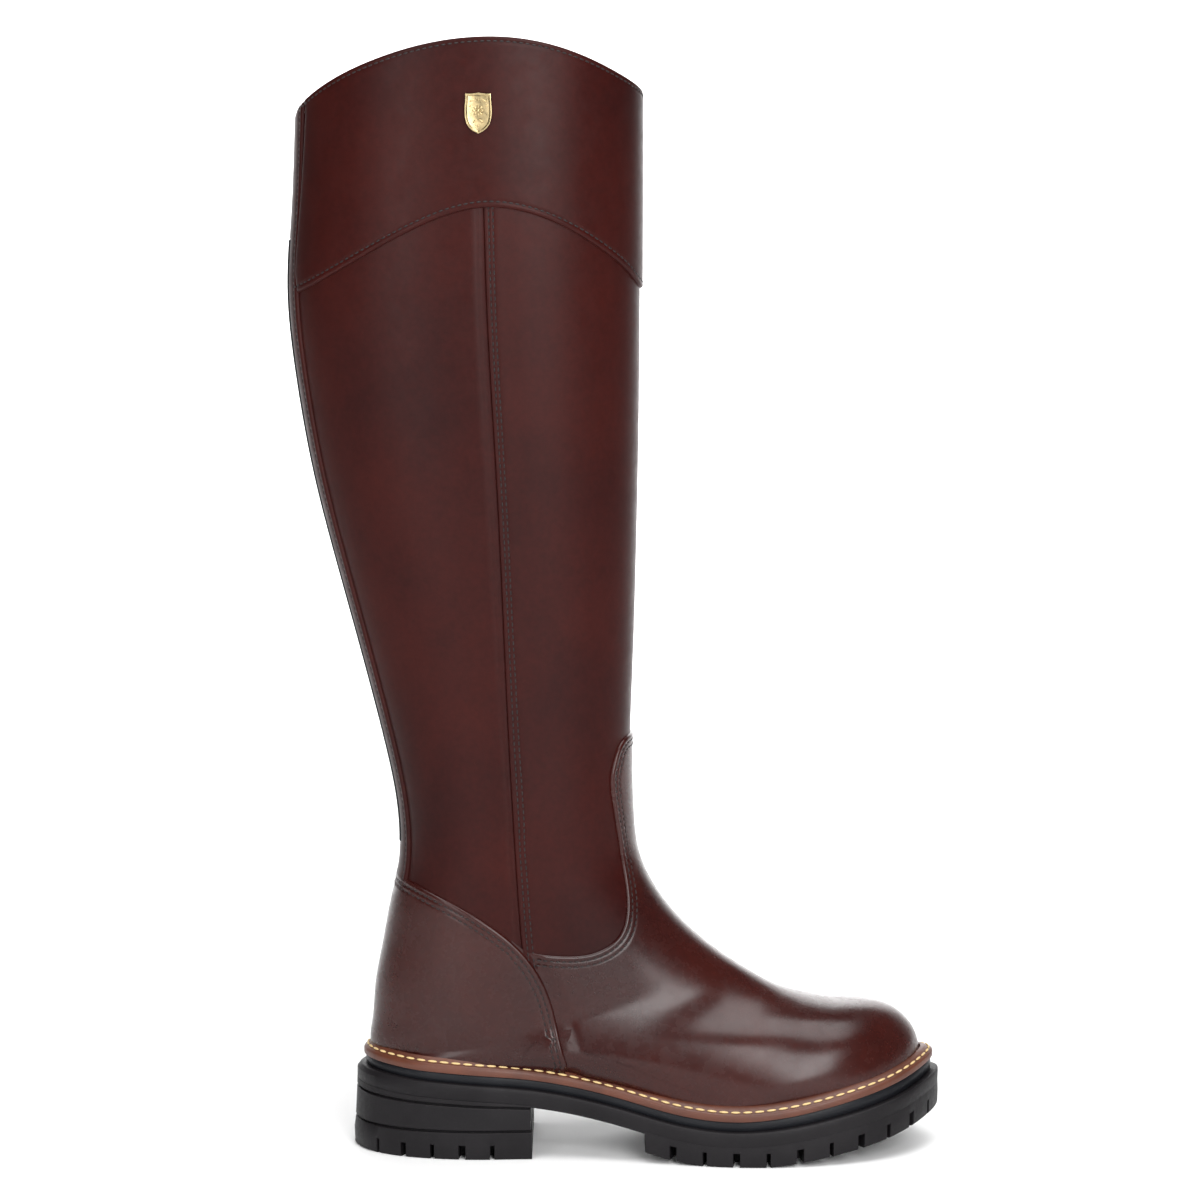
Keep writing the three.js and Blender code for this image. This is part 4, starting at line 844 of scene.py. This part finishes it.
guess = liningTurns(np.full(liningSizes["columns"], fanPlaces[1]))
wrapped = np.where(guess < -backTurn, guess + 2 * backTurn, guess)
topPlaces = crossing(wrapped, lambda x, y: topLine(x, y) - liningSizes["underRim"], 0, fanPlaces[3])
bottomPlaces = crossing(wrapped, lambda x, y: liningSizes["shaftBottom"], fanPlaces[9], fanPlaces[13])
places = np.linspace(topPlaces, bottomPlaces, liningSizes["rows"])
spots = np.stack([places, liningTurns(places)], -1)
rimRoll = 0.35 * (1 - rolled(places - topPlaces, 0, 1, 1.0))
skin("shaft_lining", spots, liningSizes["outer"] - rimRoll, liningSizes["inner"] + rimRoll, liningLeather,
     ["shaft_lining"])

footTurns = np.linspace(-backTurn, backTurn, liningSizes["footColumns"])
startPlaces = crossing(footTurns, lambda x, y: liningSizes["footTop"], fanPlaces[9], fanPlaces[13])
places = np.linspace(startPlaces, np.full(len(footTurns), lastPlace - 1.5), liningSizes["footRows"])
squeezed = np.where(places >= soleStart, liningSizes["footCorner"] / backTurn, 1)
skin("foot_lining", np.stack([places, squeezed * footTurns], -1), liningSizes["outer"], liningSizes["inner"],
     liningLeather, ["foot_lining"])


def zipBandSpots(fromZip, toZip, top, bottom, columns, rows=120):
    z = np.linspace(top, bottom, rows)
    sides = [locate(np.stack([zipX(z) + d, z], 1), True) for d in (fromZip, toZip)]
    mix = np.linspace(0, 1, columns)[None, :, None]
    return sides[0][:, None] * (1 - mix) + sides[1][:, None] * mix


zipBandFoot = 108
zipTape = webbing("zip tape", (0.016, 0.0065, 0.0055), 1400, 0.00015)
zipMetal = plainSolid("antique brass", (0.3, 0.22, 0.12), 0.34, 1.0, 0.35, 300, 0.0001)
for name, fromZip, toZip in (("zip_tape_front", 0.6, 11.1), ("zip_tape_rear", -11.1, -0.6)):
    spots = zipBandSpots(fromZip, toZip, 453, zipBandFoot, 8)
    skin(name, spots, -1.95, -2.6, zipTape, [name])
skin("zip_underlay", zipBandSpots(-12, 14, 452, zipBandFoot, 10), -4.4, -5.4, liningLeather,
     ["zip_underlay"])
print("linings ready")


# Zip teeth, stops, slider and puller


zipSizes = {"top": 450, "bottom": 112, "pitch": 2.6, "tooth": (2.5, 1.35, 1.25), "inner": 0.32, "edge": 0.16,
            "ends": 7.5, "first": 3.9, "sunk": -0.9}


def zipPoint(z):
    return Vector((zipX(z), innerHalfWidth(z), z))


zipTop = zipPoint(zipSizes["top"])
zipRun = zipTop - zipPoint(zipSizes["bottom"])
zipUp = zipRun.normalized()
zipOut = -Vector((1, 0, 0)).cross(zipUp).normalized()
zipAcross = zipOut.cross(zipUp).normalized()


def zipMatrix(across, out, down):
    # A place in the zip's own frame: across it to the front, out of the boot, and down it from its top.
    at = (zipTop + zipAcross * across + zipOut * out - zipUp * down) * metre
    turn = Matrix((zipAcross, zipOut, zipUp)).transposed().to_4x4()
    return Matrix.Translation(at) @ turn


def softened(bm, width, segments=2, angle=25):
    edges = [e for e in bm.edges if len(e.link_faces) == 2 and e.calc_face_angle(0) > radians(angle)]
    bmesh.ops.bevel(bm, geom=edges, offset=width * metre, offset_type="OFFSET", segments=segments,
                    profile=0.5, affect="EDGES", material=-1, clamp_overlap=True)


for name, side in (("zip_row_front", 1), ("zip_row_rear", -1)):
    bm = bmesh.new()
    wide, deep, tall = zipSizes["tooth"]
    for i in range(int((zipRun.length - zipSizes["ends"]) / zipSizes["pitch"])):
        down = zipSizes["first"] + (i + (0.5 if side > 0 else 0)) * zipSizes["pitch"]
        matrix = zipMatrix(side * (zipSizes["inner"] + wide / 2), zipSizes["sunk"], down)
        scale = Matrix.Diagonal((wide * metre, deep * metre, tall * metre, 1))
        bmesh.ops.create_cube(bm, size=1, matrix=matrix @ scale)
    softened(bm, zipSizes["edge"], 1)
    makePiece(name, bm, zipMetal, [name])


def softenedCopy(name, finish, width, body, segments=2):
    # A finer copy of a solid, with its edges rounded.
    bm = bmesh.new()
    bm.from_mesh(nodes[name].data)
    bmesh.ops.remove_doubles(bm, verts=bm.verts[:], dist=1e-6)
    bmesh.ops.dissolve_limit(bm, angle_limit=radians(1.5), verts=bm.verts[:], edges=bm.edges[:])
    softened(bm, width, segments)
    return makePiece(name + "_metal", bm, finish, [name], body)


for name in ("zip_stop_front", "zip_stop_rear", "zip_bottom_stop"):
    softenedCopy(name, zipMetal, 0.35, "boot")
softenedCopy("zip_slider", zipMetal, 0.3, "slider")
softenedCopy("zip_puller", zipMetal, 0.32, "puller")
print("zip ready")


# Sole: welt, midsole, outsole and heel


soleSizes = {
    "weltSlope": 3.4, "welt": 3.0, "midsole": 4.3, "toeExtra": 1.5, "wall": 16.4, "toeWall": 0.8,
    "plate": 8.2, "lug": 6.5, "lugDepth": 11, "lugWidths": (3.2, 1.9), "lugPitch": 14.3, "lugStart": (25, 22),
    "heelWidths": (1.6, 2.5, 1.8, 3.2, 2.0), "heelPitch": 13.6, "heelStart": -107.4,
    "breast": -38.5, "liftTop": 23.2, "treadTop": 12.8, "rise": 0.045, "groove": 1.5, "treadStart": 12.5,
    "heelLugDepth": 9.0, "taper": (0.25, 0.5, 0.6, 1), "weltPitch": 5.3, "weltStitch": (4.3, 1.15, 0.95),
    "channel": {"block": 1, "depth": 4.5, "from": 27, "to": 105, "raised": (3, 4, 8, 9),
                "across": (0, 0.2, 0.315, 0.325, 0.385, 0.395, 0.5, 0.605, 0.615, 0.675, 0.685, 0.8, 1)},
}
sole = soleSizes


def weltRidge(x):
    return featherLine(x) - sole["weltSlope"]


def weltBottom(x):
    return weltRidge(x) - sole["welt"]


def toToe(x):
    return eased(x, 50, 130)


def outsoleRim(x):
    return weltBottom(x) - sole["midsole"] - sole["toeExtra"] * toToe(x)


def archBottom(x):
    return outsoleRim(x) - sole["plate"]


def treadBottom(x):
    return np.maximum(0, outsoleRim(x) - sole["wall"] - sole["toeWall"] * toToe(x))


def liftTop(x):
    return sole["liftTop"] - sole["rise"] * (x - sole["breast"])


def runAt(x, inner):
    # Length along the outline from the back of the heel to a place along the foot.
    half = len(outlineLine) // 2
    line, shares = outlineLine[:half], outlineShares[:half]
    if inner:
        line, shares = outlineLine[::-1][:half], 1 - outlineShares[::-1][:half]
    return float(np.interp(x, line[:, 0], shares * outlineLength))


def sideColumns(start, end, cuts=(), perGap=4, first=None):
    # Columns along one side of the sole, each a length from the back and whether it lies in a notch.
    columns, at = [], start
    for n, (centre, width) in enumerate(cuts):
        a, b = centre - width / 2, min(centre + width / 2, end)
        gaps = first if n == 0 and first else perGap
        columns += [(run, 0) for run in np.linspace(at, a, gaps)]
        columns += [(a, 1), ((a + b) / 2, 1), (b, 1)]
        at = b
    if at < end - 1e-6:
        columns += [(run, 0) for run in np.linspace(at, end, perGap)]
    return np.array(columns)


def soleWall(columns, isInner, levels):
    shares = columns[:, 0] / outlineLength
    shares = 1 - shares if isInner else shares
    cut = columns[:, 1] > 0.5
    wall = []
    for level in levels:
        (inset, height), (cutInset, cutHeight) = level[:2], level[-2:]
        xy = np.where(cut[:, None], outlineAt(shares, cutInset), outlineAt(shares, inset))
        wall.append(np.column_stack([xy, np.where(cut, cutHeight(xy[:, 0]), height(xy[:, 0]))]))
    return np.array(wall)


def soleBlock(name, blocks, finish, channel=None):
    # A piece of closed blocks, each of outer and inner columns and levels between them. A level is an
    # inset and a height on the lugs, then an inset and a height in the notches where that differs.
    bm = bmesh.new()
    for n, (outer, inner, levels) in enumerate(blocks):
        walls = soleWall(outer, False, levels), soleWall(inner, True, levels)
        isTread = channel is not None and n == channel["block"]
        mix = np.array(channel["across"]) if isTread else np.linspace(0, 1, 9)
        mix = mix[None, :, None]
        for wall in walls:
            gridMesh(bm, wall)
        for level in (0, -1):
            cap = walls[0][level][:, None] * (1 - mix) + walls[1][level][:, None] * mix
            if isTread and level == 0:
                isRaised = np.isin(np.arange(mix.size), channel["raised"])[None, :]
                start, end = channel["from"], channel["to"]
                cap[..., 2] += channel["depth"] * (isRaised & (cap[..., 0] > start) & (cap[..., 0] < end))
            gridMesh(bm, cap)
        for side in (0, -1):
            a, b = walls[0][:, side], walls[1][:, side]
            if np.abs(a - b).max() > 0.05:
                gridMesh(bm, a[:, None] * (1 - mix) + b[:, None] * mix)
        bmesh.ops.remove_doubles(bm, verts=bm.verts[:], dist=3e-6)
        bmesh.ops.dissolve_degenerate(bm, edges=bm.edges[:], dist=1e-7)
    return makePiece(name, bm, finish, [name])


def add(line, by):
    return lambda x: line(x) + by


def atHeight(height):
    return lambda x: height + 0 * x


def rim(base, line, steps):
    # Levels that are each set in from a base and raised from a line.
    return [(add(base, inset), add(line, rise)) for inset, rise in steps]


def heelGroove(base, line, side, edge=0.0):
    # The groove between two layers of the heel, seen from the layer above (1) or below (-1) a line.
    steps = [(sole["groove"], 0.1), (sole["groove"], 0.45), (0.35, 0.5), (edge, 0.85)]
    return rim(base, line, [(inset, side * rise) for inset, rise in steps[::side]])


def lugs(bottom, top, depth):
    # The rounded foot of the lugs, and the notches between them up to where the lugs end.
    levels = [(depth, bottom, depth, bottom)]
    levels += [(inset, add(bottom, rise), depth, top) for inset, rise in ((1.1, 0), (0.5, 0.25), (0.15, 0.9))]
    return levels + [(0, top, 0.3, top), (0, add(top, 0.6))]


def rubber(name, colour, rough, grain):
    made, tree, place = material(name)
    cloud, dust = noiseFrom(tree, place, 30, 3), noiseFrom(tree, place, 500, 4, 0.7)
    tone = ramp(tree, cloud, (0.3, colour), (0.75, tuple(c * 1.5 + 0.004 for c in colour)))
    gloss = ranged(tree, dust, rough - 0.08, rough + 0.08, 0.3, 0.7)
    heights = [(noiseFrom(tree, place, 1500, 2), grain, 0.00012), (cloud, 0.2, 0.0004)]
    return dress(made, tone, gloss, heights, {"Specular IOR Level": 0.17})


soleRubber = rubber("sole rubber", (0.0065, 0.0055, 0.0065), 0.5, 0.5)
midsoleRubber = rubber("midsole rubber", (0.0065, 0.007, 0.009), 0.42, 0.3)

half = outlineLength / 2
wholeSide = [sideColumns(0, half, perGap=150)] * 2
taper = [heelTaper(share) for share in sole["taper"]]
midInset = add(weltInset, 1.0)
soleBlock("midsole", [(*wholeSide, [
    (add(midInset, 0.3), add(outsoleRim, 0.05)), (midInset, add(outsoleRim, 0.5)),
    (add(midInset, -0.15), lambda x: (outsoleRim(x) + weltBottom(x)) / 2),
    *rim(midInset, weltBottom, [(0, -0.6), (0.35, -0.1)]),
])], midsoleRubber)

plate = rim(taper[1], archBottom, [(2.2, 0), (0.9, 0.4), (0.15, 1.5)]) + [(taper[2], add(outsoleRim, -2.2))]
plate += rim(taper[3], outsoleRim, [(0.05, -0.9), (0.25, -0.4), (0.7, -0.08), (1.4, 0)])
firstRun, lastRun = runAt(sole["lugStart"][0], False), outlineLength - runAt(sole["lugStart"][1], True)
toeCut = int((lastRun - firstRun) / sole["lugPitch"]) // 2
cuts = [(firstRun + i * sole["lugPitch"], sole["lugWidths"][i % 2]) for i in range(2 * toeCut + 1)]
toeRun = cuts[toeCut][0]
innerCuts = [(outlineLength - run, width) for run, width in cuts[::-1][: toeCut + 1]]
treadSides = [
    sideColumns(runAt(sole["treadStart"], False), toeRun, cuts[: toeCut + 1], 5),
    sideColumns(runAt(sole["treadStart"], True), outlineLength - toeRun, innerCuts, 5),
]
tread = lugs(treadBottom, add(treadBottom, sole["lug"]), sole["lugDepth"]) + [(0.1, add(archBottom, 1.6))]
heelSides = [sideColumns(0, runAt(sole["breast"], isInner), perGap=70) for isInner in (False, True)]
heelTop = heelGroove(taper[1], liftTop, 1, 0.05) + [(add(taper[1], 0.12), add(archBottom, 1.2))]
soleBlock("outsole", [(*wholeSide, plate), (*treadSides, tread), (*heelSides, heelTop)],
          soleRubber, sole["channel"])

low = atHeight(sole["treadTop"])
liftLevels = heelGroove(taper[0], low, 1) + heelGroove(taper[1], liftTop, -1)
soleBlock("heel_lift", [(*heelSides, liftLevels)], soleRubber)

treadSides = []
for isInner in (False, True):
    first = runAt(sole["heelStart"], isInner)
    cuts = [(first + i * sole["heelPitch"], width) for i, width in enumerate(sole["heelWidths"])]
    treadSides.append(sideColumns(0, runAt(sole["breast"] + 0.6, isInner), cuts, 6, 12))
heelLevels = lugs(atHeight(0.0), atHeight(sole["lug"]), sole["heelLugDepth"]) + heelGroove(taper[0], low, -1)
soleBlock("heel_tread", [(*treadSides, heelLevels)], soleRubber)
print("outsole and heel ready")


def weltFinish(name):
    made, tree, place = material(name)
    cloud, grain = noiseFrom(tree, place, 60, 4, 0.6), noiseFrom(tree, place, 700, 3, 0.6)
    tone = ramp(tree, cloud, (0.3, (0.07, 0.018, 0.0075)), (0.72, (0.115, 0.03, 0.012)))
    gloss = ranged(tree, grain, 0.36, 0.55, 0.3, 0.7)
    return dress(made, tone, gloss, [(grain, 0.4, 0.00015), (cloud, 0.2, 0.0003)])


weltLeather = weltFinish("welt leather")
around = np.linspace(0, 1, 361)


def slopeHeight(by):
    return lambda x: weltRidge(x) + sole["weltSlope"] * by / (upperInset(x) - weltInset(x))


profile = [(add(upperInset, 7), weltBottom)]
profile += rim(weltInset, weltBottom, [(0.5, 0), (0.1, 0.15), (0, 0.5)])
profile += rim(weltInset, weltRidge, [(0, -0.7), (0.12, -0.25)])
for inset, rise in ((0.45, -0.05), (0.95, 0), (1.3, -0.28), (2.1, -0.3), (2.5, 0)):
    profile.append((add(weltInset, inset), add(slopeHeight(inset), rise)))
profile += rim(upperInset, featherLine, [(-0.3, -0.25), (0.5, -0.2), (0.7, -3)])
profile.append((add(upperInset, 7), weltBottom))
rows = []
for inset, height in profile:
    xy = outlineAt(around, inset)
    rows.append(np.column_stack([xy, height(xy[:, 0])]))
bm = bmesh.new()
gridMesh(bm, np.array(rows))
bmesh.ops.remove_doubles(bm, verts=bm.verts[:], dist=3e-6)
makePiece("welt", bm, weltLeather, ["welt"])

sockSides = [sideColumns(0, half, perGap=90)] * 2
sockSteps = [(0.3, 4.9), (0, 5.2), (0, 7.9), (0.35, 8.5), (1.2, 8.75)]
sockLevels = rim(add(upperInset, 6.4), add(featherLine, -3.0), sockSteps)
sockPiece = soleBlock("sock_liner", [(*sockSides, sockLevels)], liningLeather)
print("welt and footbed ready")


# Stitching


threadSizes = {"pitch": 2.8, "stitch": (2.05, 0.8, 0.6), "proud": 0.08}


def stitchShape():
    bead = bmesh.new()
    bmesh.ops.create_uvsphere(bead, u_segments=6, v_segments=5, radius=0.5)
    shape = bpy.data.meshes.new("stitch")
    bead.to_mesh(shape)
    bead.free()
    return shape


def sew(bm, points, normals, pitch, stitch):
    # Stitches along a line of points, each a long bead on the leather.
    run = lengthAlong(points)
    count = max(int(run[-1] / pitch), 1)
    places = (np.arange(count) + 0.5) * run[-1] / count
    middle, up = sampled(places, run, points), sampled(places, run, normals)
    ahead, behind = (sampled(places + shift, run, points) for shift in (pitch / 3, -pitch / 3))
    length, width, thick = stitch
    for i in range(count):
        along = Vector(ahead[i] - behind[i]).normalized()
        normal = Vector(up[i])
        normal = (normal - along * normal.dot(along)).normalized()
        turn = Matrix((normal.cross(along), normal, along)).transposed().to_4x4()
        scale = Matrix.Diagonal((width * metre, thick * metre, length * metre, 1))
        shape = stitchShape()
        shape.transform(Matrix.Translation(Vector(middle[i]) * metre) @ turn @ scale)
        bm.from_mesh(shape)
        bpy.data.meshes.remove(shape)


for name, paths in seamPaths.items():
    bm = bmesh.new()
    for path, lift in paths:
        fine = evenlySpots(path, 600) if name != "back_strip" else path
        laid, normals = surface(fine, lift + threadSizes["proud"]), outward(fine[:, 0], fine[:, 1])
        sew(bm, laid, normals, threadSizes["pitch"], threadSizes["stitch"])
    makePiece(name + "_stitching", bm, darkThread, sharp=180)

linenThread = plainSolid("linen thread", (0.78, 0.56, 0.26), 0.6, 0, 0.25, 700)
bm = bmesh.new()
around = np.linspace(0, 1, 721)
fromEdge = 1.75  # of the welt
xy = outlineAt(around, add(weltInset, fromEdge))
line = np.column_stack([xy, slopeHeight(fromEdge)(xy[:, 0]) + 0.02])
out = outlineAt(around, 0) - outlineAt(around, 1)
sew(bm, line, np.column_stack([out * 0.8, np.ones(len(out))]), sole["weltPitch"], sole["weltStitch"])
makePiece("welt_stitching", bm, linenThread, ["welt_thread"], sharp=180)
print("stitching ready")


# Badge: a plain heater shield with a rosette


badgeSizes = {"rim": 1.05, "relief": 0.55, "edge": 0.14, "petals": 8, "petalRing": 1.75, "rosetteHeight": 1.0,
              "leaves": [(-1.3, -3.4, 0.9), (1.3, -3.4, -0.9), (-2.6, 5.3, 1.2), (2.6, 5.3, -1.2)],
              "dots": [(0, -5.6), (0, 5.6), (-3.4, 2.9), (3.4, 2.9)],
              "top": [(0, 8.75), (2.6, 8.35), (5.5, 8.3)],
              "side": [(5.5, 8.3), (5.45, 6.6), (5.7, 3.0), (5.7, -1.0), (4.9, -4.6), (2.9, -7.1), (0, -8.8)]}


def makeBadge():
    lowest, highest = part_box("badge")
    middle = (lowest + highest) / 2
    side = np.vstack([alongLine(badgeSizes["top"], 14)[:-1], alongLine(badgeSizes["side"], 34)])
    shield = np.vstack([side, side[-2:0:-1] * (-1, 1)])
    bm = bmesh.new()
    verts = [bm.verts.new((x * metre, 0, z * metre)) for x, z in shield]
    back = bm.faces.new(verts)
    thick = highest.y - lowest.y
    front = bmesh.ops.extrude_face_region(bm, geom=[back])["geom"]
    face = next(f for f in front if isinstance(f, bmesh.types.BMFace))
    bmesh.ops.translate(bm, vec=(0, -thick, 0), verts=face.verts[:])
    for _ in range(2):
        bmesh.ops.inset_region(bm, faces=[face], thickness=badgeSizes["rim"] * 0.5 * metre)
    bmesh.ops.translate(bm, vec=(0, badgeSizes["relief"] * metre, 0), verts=face.verts[:])
    bmesh.ops.recalc_face_normals(bm, faces=bm.faces[:])
    softened(bm, badgeSizes["edge"], 2, 40)
    field = -thick + badgeSizes["relief"] * metre

    def bead(x, z, wide, tall, turn=0.0, proud=0.5):
        matrix = Matrix.Translation((x * metre, field, z * metre)) @ Matrix.Rotation(turn, 4, "Y")
        matrix = matrix @ Matrix.Diagonal((wide * metre, proud * metre, tall * metre, 1))
        bmesh.ops.create_uvsphere(bm, u_segments=12, v_segments=8, radius=1, matrix=matrix)

    ring, rosette = badgeSizes["petalRing"], badgeSizes["rosetteHeight"]
    bead(0, rosette, 0.75, 0.75, 0, 0.55)
    for i in range(badgeSizes["petals"]):
        turn = 2 * pi * i / badgeSizes["petals"]
        bead(ring * sin(turn), rosette + ring * cos(turn), 0.5, 0.85, turn, 0.42)
    for x, z, turn in badgeSizes["leaves"]:
        bead(x, z, 0.42, 1.25, turn, 0.4)
    for x, z in badgeSizes["dots"]:
        bead(x, z, 0.42, 0.42, 0, 0.4)
    bmesh.ops.translate(bm, vec=(middle.x, highest.y, middle.z), verts=bm.verts[:])
    return bm


badgeBrass = plainSolid("badge brass", (0.6, 0.47, 0.25), 0.3, 1.0, 0.3, 400, 0.00006)
makePiece("badge_shield", makeBadge(), badgeBrass, ["badge"])


# Finishes of the pieces inside


insideFinishes = {
    "heel_counter": ("stiffener fleece", (0.5, 0.45, 0.36), 0.85, 0.0, 300),
    "insole_board": ("fibre board", (0.34, 0.22, 0.11), 0.8, 0.0, 250),
    "bottom_filler": ("granulated cork", (0.3, 0.17, 0.075), 0.9, 0.0, 350),
    "shank": ("sprung steel", (0.42, 0.43, 0.45), 0.32, 1.0, 200),
}
alike = {"heel_counter": "toe_puff", "shank": "badge_backing"}
for name, (label, colour, rough, metal, scale) in insideFinishes.items():
    finish = plainSolid(label, colour, rough, metal, 0.4, scale)
    for node in (nodes[name], nodes.get(alike.get(name))):
        if node:
            node.data.materials.clear()
            node.data.materials.append(finish)
print("badge and inner pieces ready")


# Floor, light and camera


studio = {
    "floor": (0.93, 0.93, 0.93), "flat": 5.6, "bend": 1.2, "run": 9.2, "halfWidth": 5, "front": -3.0,
    "world": 0.14,
    "lights": [  # name, place, aim, width, height, watts
        ("front panel", (0.75, -2.0, 1.0), (0, 0, 0.25), 1.1, 1.5, 44),
        ("left panel", (-0.9, -1.7, 0.7), (-0.05, 0, 0.28), 0.5, 1.5, 12),
        ("top panel", (0.1, -0.35, 1.9), (0, 0, 0.1), 1.6, 1.2, 32),
        ("backdrop panel", (0, 1.6, 2.4), (0, 4.4, 0.5), 3.2, 1.2, 190),
    ],
    "cameraPlace": (-0.0075, -2.0, 0.529), "cameraTilt": 82, "lens": 135.5,
}


def makeStage():
    bm = bmesh.new()
    bmesh.ops.create_grid(bm, x_segments=1, y_segments=60, size=1)
    flat, bend = studio["flat"], studio["bend"]
    radius = bend / (pi / 2)
    for vert in bm.verts:
        run = (vert.co.y + 1) / 2 * studio["run"]
        turned = min(max(run - flat, 0), bend) / radius
        y = min(run, flat) + radius * sin(turned)
        z = radius * (1 - cos(turned)) + max(run - flat - bend, 0)
        vert.co = (vert.co.x * studio["halfWidth"], y + studio["front"], z)
    for face in bm.faces:
        face.smooth = True
    made, tree, _ = material("pale floor")
    feed(tree.nodes["Principled BSDF"], {"Base Color": (*studio["floor"], 1), "Roughness": 0.7})
    meshObject("floor", bm, made)
    world = bpy.data.worlds.new("studio")
    world.use_nodes = True
    feed(world.node_tree.nodes["Background"], {"Color": (1, 1, 1, 1), "Strength": studio["world"]})
    bpy.context.scene.world = world
    bpy.context.scene.view_settings.view_transform = "Standard"
    for name, place, aim, width, height, watts in studio["lights"]:
        light = bpy.data.lights.new(name, "AREA")
        light.shape, light.size, light.size_y, light.energy = "RECTANGLE", width, height, watts
        lamp = newObject(name, light)
        lamp.location = place
        lamp.rotation_euler = (Vector(aim) - Vector(place)).to_track_quat("-Z", "Y").to_euler()
    camera = newObject("camera", bpy.data.cameras.new("camera"))
    camera.data.lens = studio["lens"]
    camera.location = studio["cameraPlace"]
    camera.rotation_euler = (radians(studio["cameraTilt"]), 0, 0)
    bpy.context.scene.camera = camera


makeStage()
bpy.context.view_layer.update()
print("scene ready")
